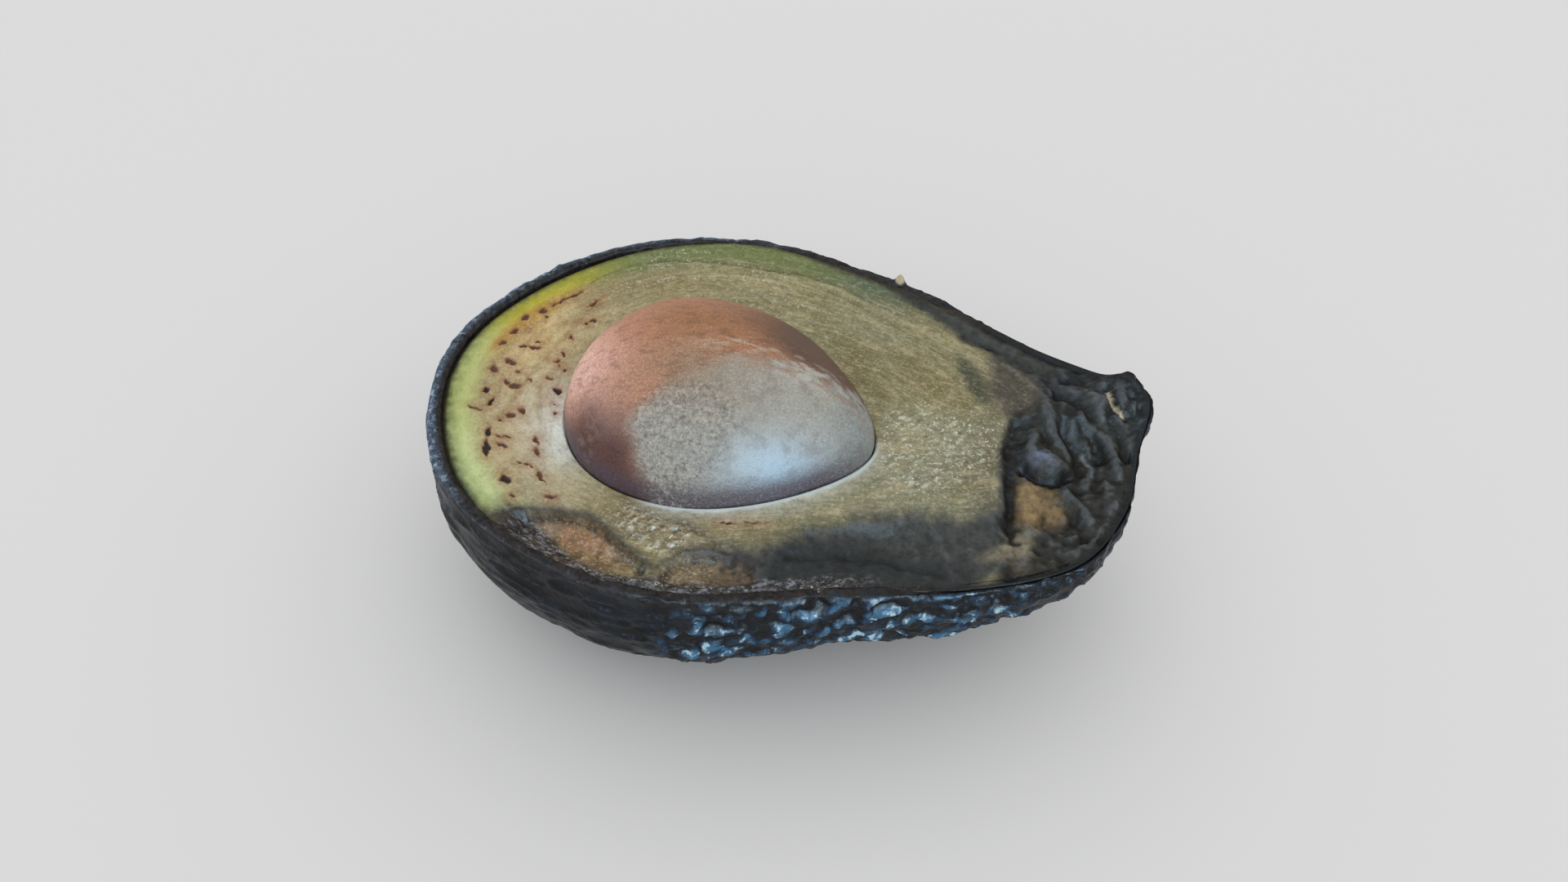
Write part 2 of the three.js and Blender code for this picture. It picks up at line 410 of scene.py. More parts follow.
bent = shown + 0.7 * waves(shown, 4.0, 2, 1)[..., None]
pebble = 1 - cells(bent, 2.8, 2)
small_pebble = 1 - cells(bent, 1.25, 3)
lumps = 1 - 1.8 * np.abs(waves(bent, 5.0, 3, 4))
dents = waves(shown, 9.0, 2, 7)
along_wall = np.concatenate([side * 20, shown[..., 2:]], -1)
creases = 1 - 2.5 * np.abs(waves(along_wall * (0.45, 0.45, 1), 3.2, 3, 5))
wrinkles = waves(along_wall * (1, 1, 2.0), 1.6, 3, 8)
rind_height = (
    PEBBLE * pebble * pebbly
    + SMALL_PEBBLE * small_pebble * pebbly
    + LUMP * lumps * (0.15 + 0.85 * lumpy_side - 0.12 * calm_side)
    + DENT * (1 - 0.5 * calm_side) * dents
    + CREASE * np.clip(creases, 0, 1) * (0.10 + 0.90 * calm_side)
    + WRINKLE * wrinkles * (1 - 0.7 * calm_side)
    - SINK - LUMPY_SINK * lumpy_side
)
foot_calm = smooth(height, 0, 1.5)
outwards = normals_of(rind_rings)[:shown_rows]
shown = shown + outwards * ((rind_height * lip_calm + spread) * foot_calm)[..., None]
print("rind relief in mm:", rind_height.min().round(2), "to", rind_height.max().round(2))

# %% Rind: where painted highlights go, on slopes and crests that face up
tilt = normals_of(shown)[..., 2] - outwards[..., 2]
crest = rind_height - blurred(rind_height, 6)
patches = waves(bent * (1, 1, 1.4), 2.6, 3, 10)
painted_highlight = (1.1 * tilt + 1.0 * patches + 1.3 * crest) * lumpy_side * smooth(shown[..., 2], 10, 16)
painted_highlight *= 1 - 0.5 * smooth(shown[..., 0], 30, 42)
print("bloom covers", (painted_highlight > 0.3).mean().round(3), "of the wall")

# %% Rind: crumbly lip, knob and torn tab
KNOB = ((47.8, 13.2), (2.4, 1.5), -20, 2.6)      # place, half sizes, turn, height
TAB = ((12.8, 29.6), (0.75, 0.7), 0, 1.5)
LAP_DROP = 0.55           # mm, how far the lip drops where the flesh laps over it
near_lip = smooth(shown[..., 2], 24, 29)
shown[..., 2] += near_lip * 0.30 * waves(shown, 3.5, 2, 6)
shown[..., 2] += near_lip * 0.16 * waves(shown, 1.0, 2, 9)
lapped = smooth(shown[..., 0], 18, 32)
lapped[:RIND_ROWS + 1] = 0
shown[..., 2] -= LAP_DROP * lapped
for bump in (KNOB, TAB):
    shown[..., 2] += near_lip * swell(shown[..., 0], shown[..., 1], *bump)
shown[..., 2] = np.maximum(shown[..., 2], 0)
rind_rings[:shown_rows] = shown

rind = ring_mesh("rind", (*FOOT, 0), rind_rings, (*FOOT, SKIN - FLAT_CUT))

# %% Rind: values for its finish
# The lip's blue-grey is partly dust and partly painted highlight; the finish adds painted glints on
# it.
LIP_DUST_AND_GLINT_ROWS = np.array([1, 1, 0.8, 0.4])     # how cold the outermost rings of the lip look
TORN_LEVEL = 31.5                          # mm, the torn tab stands above this height
rx, ry, rz = np.moveaxis(rind_rings, -1, 0)
crevice_shade, lip_share, lip_dust_and_glint, painted_highlight_share = np.zeros((4, *rx.shape))
# painted shade: darker where the relief lies below its surroundings
crevice_shade[:shown_rows] = smooth(-crest, 0.0, 0.25)
lip_share[RIND_ROWS:] = 1
lip_share[RIND_ROWS - 6:RIND_ROWS] = np.linspace(0, 0.8, 6)[:, None]
lip_share *= mix(1, 0.15, smooth(rx, 10, 30))
up_the_wall = np.linspace(-13.4, 1, RIND_ROWS)[:, None]       # passes 0 a little below the lip
ragged_fade = smooth(up_the_wall + 0.9 * patches[:RIND_ROWS], -0.9, 0.9)
lip_dust_and_glint[:RIND_ROWS] = ragged_fade * smooth(-rx[:RIND_ROWS], 36, 48)
lip_dust_and_glint[RIND_ROWS:RIND_ROWS + len(LIP_DUST_AND_GLINT_ROWS)] = LIP_DUST_AND_GLINT_ROWS[:, None]
lip_dust_and_glint *= smooth(-rx, 0, 24) * smooth(ry, -28, -18)
painted_highlight_share[:RIND_ROWS] = painted_highlight[:RIND_ROWS]
torn = swell(rx, ry, TAB[0], (0.9, 1.1), 0, 1) * (rz > TORN_LEVEL)
for name, values in (("lip_dust_and_glint", lip_dust_and_glint), ("crevice_shade", crevice_shade), ("lip", lip_share),
                     ("painted_highlight", painted_highlight_share), ("torn", torn)):
    store(rind, name, values)
    print("rind", name, "averages", values.mean().round(3))

# %% [markdown]
# ## The flesh
# The cut face is a net of rings that shrink from the rind's edge to the seed's hollow. Its relief
# is drawn as a short list of lines and outlines in millimetres: the hollows at the near
# left, the sunken side of the neck, the folds at the stem end. Noise breaks up each of them.

# %% Flesh: rings of the bare shape
FLESH_AROUND = 800
FACE_ROWS = 110
WALL_ROWS = 5
HOLLOW_ROWS = 7
FACE_BIAS = 1.12          # rings are closer together near the rind
# How far inside the rind's outer edge the cut face starts, in mm.
START, STEM_START, SHRUNK_START = 0.75, 0.25, 0.95

turn = np.arange(FLESH_AROUND) / FLESH_AROUND
inset = SKIN + GAP
shrunk = shrinkage(turn)
stem_side = smooth(rim_curve(turn)[:, 0], 18, 32)
edge = rim(turn, mix(mix(START, STEM_START, stem_side), SHRUNK_START, shrunk))
toward = facing(edge[:, 0], edge[:, 1])
seat = seed_point(toward, 0 * toward, GAP)

share = (np.linspace(0, 1, FACE_ROWS) ** FACE_BIAS)[:, None]
x = mix(edge[:, 0], seat[:, 0], share)
y = mix(edge[:, 1], seat[:, 1], share)
level = mix(edge[:, 2], seat[:, 2], smooth(share, 0, 1))
flat = np.stack([x, y, 0 * x], -1)
rim_line = [tuple(p) for p in edge[::5, :2]]
from_edge = line_distance(x, y, rim_line + rim_line[:1])
from_seed = np.hypot(x - seat[:, 0], y - seat[:, 1])
print("face width in mm:", from_seed.max().round(1))

# %% Flesh: named lines and outlines of the cut face, in mm
BACK_CREASE = [(-35.5, 19.5), (-33, 22.6), (-30, 24.8), (-25, 27), (-20, 28), (-10, 28.2),
               (-2, 28.0), (4, 26.6), (8, 24.6), (14.8, 21.6), (20, 19.6), (25, 16.6)]
LEFT_RIDGE = [(-33.5, -26.6), (-31.4, -25.0), (-29, -24), (-25, -23.6), (-21, -23.9), (-17.8, -25),
              (-15, -26.6), (-12.2, -28.2), (-10.4, -29.6)]
RIGHT_RIDGE = [(-10.2, -30.2), (-9.4, -28.2), (-7.4, -26.2), (-5, -25.3), (-2.6, -24.8),
               (0.2, -24.9), (3.2, -25.4)]
SEED_RIDGE = [(-9.8, -21.4), (-7, -22.4), (-3.4, -23.8), (-1, -24.8)]
NECK_CREASE = [(35.2, 4.0), (33.4, 3.8), (32.5, 2.4), (32.5, -1), (33.2, -5), (33.8, -9),
               (34.2, -13)]
STREAK = [(-38.6, -10.5), (-38.2, -4), (-37.2, 1), (-35.8, 6), (-34.8, 10.5), (-33.6, 13)]
LEFT_HOLLOW = [(-33, -27), (-31, -25.2), (-28.5, -24.3), (-25, -23.9), (-21, -24.3), (-17.8, -25.3),
               (-15, -26.9), (-12, -28.6), (-11, -30.4), (-14, -32.5), (-22, -32), (-28, -30)]
RIGHT_HOLLOW = [(-9.6, -31), (-8.8, -28.4), (-6.8, -26.5), (-4, -25.5), (-1, -25.1), (2.2, -25.8),
                (3, -28), (-2, -30.6), (-6, -32)]
SUNKEN_SIDE = [(-3, -25.4), (2, -22.8), (8, -18.2), (14, -15.0), (18, -13.4), (22, -12.4),
               (28, -11.8), (31, -9.4), (34.5, -9), (35, -17.5), (30, -24), (12, -30), (-4, -31)]
FAR_DARK = [(5, 32), (9, 29.4), (12.4, 26.6), (15.2, 24.6), (18, 22.4), (21.2, 20.6), (24, 18.6),
            (28, 16.4), (31, 14.9), (33.6, 13.2), (36, 10.4), (52, 6), (60, 20), (20, 40), (5, 40)]
STEM_END = [(32.6, 5.4), (31.6, 1), (31.8, -5), (32.4, -10), (32.6, -14), (33, -19), (36, -30),
            (60, -30), (60, 20), (36, 14), (36, 10.4), (35.4, 7), (34, 5.8)]
FIBROUS = [(23.0, 15.4), (25.4, 14.8), (28.6, 10.4), (29.6, 7), (28.2, 6), (26.0, 8.6), (24, 12)]
BROWN_SIDE = [(28, 16.4), (32, 16.0), (35.6, 13.4), (37.4, 9), (35.4, 5.2), (31, 4.4), (28.8, 8.6)]
WARM_PATCH = [(34.2, -4.0), (37, -3.6), (39.6, -4.8), (41.6, -7.0), (40.6, -9.6), (37, -10.8),
              (34.4, -9.8)]
TAN_PATCH = [(34.6, -11), (37.2, -11.4), (37.6, -14.6), (35.4, -16.8), (31, -17.4), (33.6, -13.8)]
GLISTENING = [(13.6, -1), (15.4, 3.4), (20, 5), (27, 4.6), (31, 3), (30.6, -2), (28, -6),
              (24.4, -9.8), (19, -11), (15.4, -8.6), (14.2, -4.6)]
RIPPLED = [(-17.4, -20.6), (-11, -21.4), (-7, -23), (-7.4, -25.4), (-10, -27.0), (-14, -26.0),
           (-17.6, -23.6)]
FLESH_KNOB = ((47.4, 12.8), (2.4, 1.6), -20, 2.3)      # place, half sizes, turn, height
print("the flesh's knob stands at", FLESH_KNOB[0], "and is", FLESH_KNOB[-1], "mm high")

# %% Flesh: folds and grooves
# Each row is a line, its half width and its height. Two low swells run beside the back crease.
FOLDS = [
    (BACK_CREASE, 0.26, -0.13),
    ([(px, py - 0.9) for px, py in BACK_CREASE[2:9]], 0.5, 0.2),
    ([(px, py + 0.7) for px, py in BACK_CREASE[2:9]], 0.5, 0.12),
    ([(-38.2, -1.6), (-35.8, 1.6)], 0.22, -0.16),
    ([(-37.4, -2.2), (-34.9, 1.0)], 0.22, 0.14),
    ([(-36.8, -3.0), (-34.4, 0.2)], 0.22, -0.16),
    ([(-30, 20.6), (-24, 23.6), (-16, 25.2), (-8, 25.6), (0, 24.6)], 0.35, 0.2),
    ([(-4, 24.0), (6, 21.4), (14, 17.4), (20, 13.4)], 0.35, 0.18),
    ([(2, 25.4), (10, 21.8), (18, 17.2), (25, 12.2)], 0.3, -0.16),
    (LEFT_RIDGE, 0.8, 0.25),
    (RIGHT_RIDGE, 0.7, 0.2),
    (SEED_RIDGE, 0.7, -0.35),
    (NECK_CREASE, 0.75, -0.6),
    ([(34.2, 2.8), (34.6, 0.6), (35.0, -2)], 1.0, 0.5),
    ([(36.2, 2.6), (35.4, 0.8), (36.2, -0.8), (37.8, -1.7), (39.2, -1.2)], 0.8, 0.9),
    ([(35.2, -2.2), (37.2, -3.4), (39.6, -3.2), (41.2, -1.8)], 0.75, -1.5),
    ([(36.9, 6.6), (38.2, 4.0), (39.2, 2.2), (41.0, 1.4)], 0.9, 0.8),
    ([(39.8, 4.6), (41.6, 2.6), (42.6, -0.4), (42.4, -3.4)], 1.1, -1.3),
    ([(38.6, 9.6), (41.6, 8.8), (44.4, 6.0), (45.4, 2.4)], 1.2, -1.0),
    ([(42.2, 7.0), (45.0, 5.4), (47.2, 2.4), (47.8, -0.6)], 0.65, 1.0),
    ([(45.8, 8.0), (47.6, 5.4), (48.8, 2.4)], 0.7, -0.8),
    ([(43.6, 1.6), (45.2, -1.0), (45.4, -4.0)], 0.8, -0.8),
    ([(41.2, -4.6), (43.2, -6.4), (44.6, -8.6)], 0.6, 0.6),
    ([(41.2, -6.8), (43.4, -9.4), (44.0, -12)], 0.7, -0.6),
    ([(36.6, -11.2), (38.8, -11.6), (40.8, -13.6)], 0.8, 0.6),
    ([(34.8, -13.6), (36.8, -13.2), (38.4, -14.6)], 0.5, -0.5),
    ([(43.0, -13.4), (45.6, -11), (47.2, -7)], 0.6, 0.5),
    ([(8.0, -18.8), (14.0, -15.9), (18.5, -15.2)], 0.8, 0.4),
    ([(19.4, -13.4), (21.4, -15.4), (22.6, -18.6)], 0.7, 0.28),
    ([(23.0, -13.0), (25.2, -15.2), (26.4, -18.2)], 0.7, 0.32),
    ([(26.6, -12.6), (28.8, -14.8), (30.0, -17.6)], 0.7, 0.25),
    ([(6, -23.4), (12, -21.0), (18, -20.2), (26, -21.2)], 0.9, -0.5),
    ([(12, 28.6), (18, 24.8), (24, 21.2), (32, 17.6)], 0.8, 0.35),
    ([(24, 19.4), (30, 17.2), (36, 13.4), (40, 9.6)], 0.8, -0.4),
    ([(30.6, 14.6), (33.6, 12.0), (36.6, 9.0)], 0.7, 0.35),
    ([(39.6, 13.4), (43.5, 12.4), (46.0, 10.2)], 0.9, -0.9),
    ([(45.4, 11.8), (46.4, 9.4), (48.0, 7.4)], 0.45, -0.7),
]
print(len(FOLDS), "folds")

# %% Flesh: places of the flecks
# Brown marks on the blunt end: place, half length, half width, turn in degrees.
FLECKS = [
    (-42.9, 9.8, 0.9, 0.65, 70), (-40.7, 11.8, 0.9, 0.5, 20), (-39.5, 13.5, 0.7, 0.5, 60),
    (-37.1, 16.3, 1.9, 0.28, 50), (-38.6, 14.6, 1.2, 0.3, 50), (-33.6, 15.3, 1.4, 0.3, 60),
    (-43.3, 6.6, 0.75, 0.6, 40), (-41.6, 7.8, 0.45, 0.3, 0), (-44.3, 3.9, 0.55, 0.5, 0),
    (-40.9, 4.0, 0.8, 0.3, 10), (-39.2, 4.3, 1.1, 0.35, 10), (-39.0, 5.3, 0.5, 0.3, 0),
    (-41.6, 0.6, 1.1, 0.6, -15), (-43.5, -1.4, 0.8, 0.65, -50), (-39.9, -1.1, 0.5, 0.25, 0),
    (-40.6, -3.2, 0.7, 0.5, -40), (-39.2, -3.8, 1.2, 0.55, 15), (-37.5, -2.3, 0.4, 0.25, 0),
    (-42.9, -5.6, 0.5, 0.7, 0), (-41.4, -7.6, 1.0, 0.5, 80), (-43.2, -9.2, 1.9, 0.2, -8),
    (-37.8, -9.3, 0.8, 0.6, 30), (-38.9, -10.5, 0.45, 0.35, 0), (-36.4, -8.2, 0.9, 0.42, -65),
    (-39.5, -13.0, 1.1, 0.5, -70), (-38.7, -15.8, 2.0, 0.5, -68), (-37.2, -13.3, 1.4, 0.3, 5),
    (-36.7, -14.9, 1.0, 0.3, -20), (-32.4, -12.9, 1.0, 0.4, -55), (-31.5, -14.9, 1.0, 0.55, -50),
    (-32.6, -17.2, 1.3, 0.2, 10), (-29.4, -18.9, 1.5, 0.28, -42), (-31.2, -17.6, 0.5, 0.2, 0),
    (-34.0, -20.3, 1.2, 0.7, -32), (-32.1, -22.7, 0.45, 0.3, 20), (-27.0, -22.0, 1.1, 0.28, 0),
    (-34.6, 7.5, 0.5, 0.32, -30), (-33.3, 10.8, 0.5, 0.32, 10), (-32.5, 11.8, 0.5, 0.3, 30),
    (-34.5, 4.0, 0.6, 0.35, -45), (-34.9, 2.4, 0.5, 0.3, 80), (-34.3, 1.5, 0.35, 0.25, -45),
    (-33.2, 0.9, 0.25, 0.25, 0), (-34.7, -1.1, 0.5, 0.3, -20), (-32.9, -3.3, 1.0, 0.6, -38),
    (-32.2, -6.0, 0.3, 0.3, 0), (-31.5, -7.5, 0.26, 0.26, 0), (-39.8, 10.7, 0.3, 0.25, 0),
    (-2.9, -20.9, 1.5, 0.16, 8), (0.8, -19.8, 1.6, 0.12, 12),
]
BLACK_FLECKS = [(-32.9, -3.3), (-41.4, -7.6), (-39.5, -13.0), (-38.7, -15.8), (-42.9, -5.6),
                (-34.0, -20.3)]
print(len(FLECKS), "flecks,", len(BLACK_FLECKS), "of them nearly black")

# %% Flesh: masks from the lines and outlines
drift = np.stack([waves(flat, 2.2, 3, 11), waves(flat, 2.2, 3, 12)], -1)
wx, wy = x + 0.6 * drift[..., 0], y + 0.6 * drift[..., 1]     # the same places with ragged edges
lx, ly = x + 0.2 * drift[..., 0], y + 0.2 * drift[..., 1]     # and with slightly wavy ones
fx, fy = x + 0.40 * waves(flat, 0.9, 3, 13), y + 0.40 * waves(flat, 0.9, 3, 14)

hollow_left = inside(lx, ly, LEFT_HOLLOW, 0.4)
hollow_right = inside(lx, ly, RIGHT_HOLLOW, 0.4)
sunken = inside(wx, wy, SUNKEN_SIDE, 1.9)
far_dark = inside(wx, wy, FAR_DARK, 1.1)
stem_end = inside(wx, wy, STEM_END, 1.3)
fibrous = inside(wx, wy, FIBROUS, 1.0)
brown_side = inside(wx, wy, BROWN_SIDE, 1.4)
warm_patch = inside(wx, wy, WARM_PATCH, 1.4)
tan_patch = inside(wx, wy, TAN_PATCH, 1.2)
glistening = inside(wx, wy, GLISTENING, 1.8)
rippled = inside(wx, wy, RIPPLED, 1.0)
crumb_width = 3.2 + 2.2 * smooth(-x, 18, 26) + 0.6 * drift[..., 0]
crumbs = smooth(from_edge, crumb_width, crumb_width - 1.6) * smooth(-y, 21, 26)
crumbs *= smooth(x, -36, -31) * smooth(x, 22, 10)
open_face = (1 - far_dark) * (1 - stem_end) * (1 - sunken)
print("dark parts cover", (open_face < 0.5).mean().round(2), "of the cut face")

# %% Flesh: flecks
fleck, halo, black_fleck = np.zeros((3, *x.shape))
for px, py, length, width, angle in FLECKS:
    mark = swell(fx, fy, (px, py), (length, width), angle, 1)
    fleck = np.maximum(fleck, mark)
    halo = np.maximum(halo, swell(wx, wy, (px, py), (length + 0.9, width + 0.9), angle, 1))
    if (px, py) in BLACK_FLECKS:
        black_fleck = np.maximum(black_fleck, mark)
print("flecks cover", (fleck > 0.5).mean().round(3), "of the cut face")

# %% Flesh: relief of the drawn lines
GROOVE, SHRUNK_GROOVE = 0.1, 0.55       # mm, how far the face dips where it meets the rind
LAP_RISE = 0.4                          # mm, how far it rises again to lap over the stem end's lip
groove = mix(GROOVE, SHRUNK_GROOVE, shrunk) - LAP_RISE * stem_side
groove = groove * (1 - smooth(from_edge, 0.1, mix(0.8, 1.3, shrunk)))
relief = np.zeros(x.shape)
for bump in RELIEF:
    relief += swell(x, y, *bump)
for line, width, height in FOLDS:
    relief += height * near_line(lx, ly, line, width)
relief += (-0.9 * hollow_left - 0.7 * hollow_right) * smooth(from_edge, 0.5, 3)
print("drawn relief in mm:", relief.min().round(2), "to", relief.max().round(2))

# %% Flesh: random relief
GRAIN_LENGTH = 6.0        # squeezes the way round the fruit, so that noise becomes long fibres
round_turn = 2 * np.pi * turn + 0 * share
ring_x, ring_y = np.cos(round_turn) * GRAIN_LENGTH, np.sin(round_turn) * GRAIN_LENGTH
grain = np.stack([ring_x, ring_y, from_edge], -1)
fibrous_part = smooth(x, -36, -24)
slanted = np.stack([(x + y) / 2.6, x - y, 0 * x], -1)
ripples = (glistening + 1.6 * rippled) * waves(slanted, 0.8, 2, 24)
rolling = waves(flat * (1, 0.8, 1), 5.0, 2, 26)

# Each row is a height in mm where the relief shows, and its pattern from -1 to 1.
for height, pattern in (
    (0.10 * open_face * (0.2 + 0.8 * fibrous_part), waves(grain, 0.9, 3, 21)),
    (0.05 * (1 - fibrous_part) * open_face, waves(flat, 1.1, 3, 30)),
    (0.30 * hollow_left, waves(flat, 1.6, 3, 22)),
    (0.22 * hollow_right, waves(flat, 1.3, 3, 23)),
    (0.50 * crumbs, waves(flat, 1.1, 3, 28)),
    (0.22, ripples),
    (0.40 * stem_end * (1 - warm_patch) + 0.30 * far_dark + 0.25 * sunken, rolling),
    (0.50 * stem_end * (1 - 0.6 * warm_patch) + 0.16 * far_dark + 0.16 * sunken,
     waves(flat, 2.0, 3, 27)),
    (0.14 * stem_end + 0.08 * far_dark + 0.06 * sunken, waves(flat, 0.7, 2, 29)),
):
    relief += height * pattern
relief -= 0.32 * smooth(fleck, 0.25, 0.8)
fade = smooth(from_edge, 0, 1.2) * smooth(from_seed, 0, 1.6)
z = level - groove + relief * fade + swell(x, y, *FLESH_KNOB)
print("whole relief in mm:", relief.min().round(2), "to", relief.max().round(2))

# %% Flesh: hidden wall and hollow, then the mesh
face = np.stack([x, y, z], -1)
wall_angle = (np.pi / 2 * np.arange(WALL_ROWS, 0, -1) / (WALL_ROWS + 1))[:, None] + 0 * turn
outside = wall(turn + 0 * wall_angle, wall_angle, inset + 0 * wall_angle)
hollow_lift = -np.pi / 2 * np.arange(1, HOLLOW_ROWS + 1) / (HOLLOW_ROWS + 1)
hollow_lift = hollow_lift[:, None] + 0 * toward
hollow = seed_point(toward + 0 * hollow_lift, hollow_lift, GAP)
flesh_rings = np.concatenate([outside, face, hollow])
bottom = seed_point(np.array(0.0), np.array(-np.pi / 2), GAP)
flesh = ring_mesh("flesh_cut", (*FOOT, inset - FLAT_CUT), flesh_rings, bottom)


def on_face(values):
    """Spreads the cut face's values to the whole piece: hidden rings repeat the nearest ring."""
    return np.concatenate([values[:1]] * WALL_ROWS + [values] + [values[-1:]] * HOLLOW_ROWS)


# %% [markdown]
# ### Painting the flesh
# Colour that belongs to a place is painted on the mesh's points here, one soft coat over
# another, as a painter would: first the khaki ground with its cream and olive dabs, then the
# green under the rind, the dark parts, the browned hollows, painted shade in the dips and
# creases, painted highlights and glints on the crests, and last the edges. The shader adds the
# flecks, the fine grain and more painted glints.

# %% Paint helpers
def colour(red, green, blue):
    """A display colour from 0 to 255, as the shader needs it."""
    share = np.array([red, green, blue]) / 255
    return np.where(share <= 0.04045, share / 12.92, ((share + 0.055) / 1.055) ** 2.4)


def paint(ground, *coats):
    """Soft coats over a ground, in turn: each is a colour and how strongly it shows."""
    for tint, mask in coats:
        ground = ground + (tint - ground) * np.clip(mask, 0, 1)[..., None]
    return ground


def dabbed(ground, px, py, dabs):
    """Soft dabs over a ground: place, half length, half width, turn, colour, strength."""
    for ax, ay, length, width, angle, tint, strength in dabs:
        mark = swell(px, py, (ax, ay), (length, width), angle, 1)
        ground = paint(ground, (tint, strength * mark))
    return ground


# %% Flesh: colours
KHAKI = colour(138, 133, 98)
OLIVE = colour(116, 102, 60)
GREY_KHAKI = colour(142, 147, 124)
CREAM = colour(200, 184, 142)
MILK_CREAM = colour(220, 222, 212)
MILK = colour(222, 236, 236)
YELLOW_GREEN = colour(186, 178, 40)
PALE_GREEN = colour(188, 198, 124)
MINT = colour(200, 216, 152)
DEEP_GREEN = colour(104, 118, 66)
BLUE_GREEN = colour(78, 96, 78)
SHADED_GREEN = colour(104, 122, 62)
FIBRE_GREEN = colour(62, 66, 54)
ORANGE_YELLOW = colour(186, 146, 60)
CHARCOAL = colour(34, 36, 37)
FAR_GREY = colour(60, 63, 62)
SUNKEN_GREY = colour(68, 71, 72)
DEEPEST_GREY = colour(50, 53, 54)
ROLLING_GREY = colour(64, 66, 66)
SHADOW_BY_SEED = colour(92, 74, 58)
SIDE_BROWN = colour(80, 76, 70)
STAIN_BROWN = colour(160, 122, 82)
HALO_BROWN = colour(150, 104, 68)
WARM_BROWN = colour(182, 130, 88)
ORANGE_BROWN = colour(150, 118, 76)
EDGE_BROWN = colour(58, 50, 38)
CREASE_SHADE = colour(82, 68, 48)
FLECK_BROWN = colour(88, 60, 50)
BLACK = colour(34, 30, 30)

# Soft dabs over the khaki ground, in the columns that dabbed() takes.
DABS = [
    (-39, 2, 7, 14, 0, CREAM, 0.9),
    (-40, 8, 5, 7, 0, colour(232, 202, 136), 0.85),
    (-33, 12, 6, 7, 40, CREAM, 0.7),
    (-36, -14, 7, 8, 20, CREAM, 0.8),
    (-30, -11, 4.5, 9, 25, MILK_CREAM, 0.95),
    (-29.6, -9.5, 2.6, 6, 20, colour(240, 244, 240), 0.8),
    (-24, -20, 9, 3, -15, CREAM, 0.6),
    (-32, 18, 6, 4, 40, OLIVE, 0.4),
    (-24, 22.5, 7, 2.5, 15, colour(128, 112, 66), 0.6),
    (-12, 26, 12, 1.6, 0, colour(172, 164, 122), 0.6),
    (-22, 20, 9, 3, 22, colour(172, 158, 112), 0.5),
    (-2, 22.6, 8, 3, -14, colour(150, 140, 100), 0.5),
    (12, 17, 7, 3, -32, GREY_KHAKI, 0.45),
    (9, 11, 3, 6, 30, OLIVE, 0.6),
    (18, 12.5, 8, 2.6, -30, OLIVE, 0.5),
    (21, 8, 7, 2, -20, colour(124, 108, 66), 0.5),
    (22, -2, 8, 4.5, -10, GREY_KHAKI, 0.6),
    (19, -9, 8, 3, 8, colour(126, 130, 112), 0.7),
    (28, -4, 3, 5, 0, colour(132, 132, 108), 0.6),
    (8, -15, 8, 2.5, 28, colour(136, 134, 106), 0.6),
    (-6, -21.5, 6, 1.8, 8, colour(150, 142, 108), 0.6),
    (-13, -23, 7.0, 3.4, -6, colour(104, 84, 46), 0.95),
    (-3, -24.6, 5, 1.2, 0, colour(112, 106, 92), 0.6),
    (30.5, -3, 3.4, 9, 4, colour(92, 90, 74), 0.8),
]
print(len(DABS), "dabs")

# %% Flesh: ground and green band
GREEN_WIDTH = 4.9         # mm
green_edge = GREEN_WIDTH + drift[..., 0]
band = smooth(from_edge, green_edge + 2.4, green_edge - 2.0)
band *= smooth(x, 22, 8) * (1 - smooth(-y, 18, 27) * smooth(x, -36, -31))
mottle = 0.65 + 0.5 * waves(flat, 1.2, 3, 39)
glow = smooth(from_edge, 3.0, 4.8) * smooth(from_edge, 7.2, 5.4) * smooth(y, -2, 5)

coat = dabbed(np.zeros((*x.shape, 3)) + KHAKI, wx, wy, DABS)
hue = paint(
    0 * coat + PALE_GREEN,
    (YELLOW_GREEN, smooth(y, 1, 11) * smooth(x, -26, -37)),
    (MINT, smooth(-y, 8, 20)),
    (DEEP_GREEN, smooth(x, -42, -28) * smooth(y, 12, 22)),
    (BLUE_GREEN, smooth(x, -6, 12) * smooth(y, 10, 20)),
    (SHADED_GREEN, 0.9 * mottle * smooth(from_edge, 3.8, 1.0) * smooth(x, -24, -36)),
)
coat = paint(
    coat,
    (OLIVE, 0.35 * smooth(waves(grain, 2.4, 3, 31), 0.0, 0.6) * open_face),
    (CREAM, 0.35 * smooth(waves(grain, 1.5, 3, 32), 0.1, 0.7) * open_face),
    (hue, 0.95 * band),
    (ORANGE_YELLOW, 0.85 * glow * smooth(y, 19, 13) * smooth(x, -30, -38)),
)
print("the green band covers", (band > 0.5).mean().round(2), "of the cut face")

# %% Flesh: streaks, browning and the dark parts
DEEPEST = [(4, -23), (10, -19.6), (16, -18.4), (22, -18.8), (30, -19.2), (30, -24), (10, -30),
           (2, -29)]
stain = smooth(waves(flat, 2.6, 3, 33), 0.0, 0.55) * smooth(-x, 28, 35) * smooth(from_edge, 5, 7.5)
broken = smooth(waves(flat, 3.0, 3, 36), -0.35, 0.3)
coat = paint(
    coat,
    (ORANGE_BROWN, 0.5 * near_line(wx, wy, STREAK, 0.6)),
    (STAIN_BROWN, 0.38 * stain),
    (FIBRE_GREEN, 0.9 * fibrous),
    (SIDE_BROWN, 0.93 * brown_side),
    (FAR_GREY, 0.95 * far_dark),
    (SUNKEN_GREY, 0.95 * sunken),
    (DEEPEST_GREY, 0.85 * inside(wx, wy, DEEPEST, 1.6)),
    (CHARCOAL, 0.93 * stem_end),
    (ROLLING_GREY, 0.7 * stem_end * smooth(rolling, 0.0, 0.5)),
    (colour(144, 122, 86), 0.88 * warm_patch),
    (colour(138, 130, 108), 0.9 * tan_patch),
)
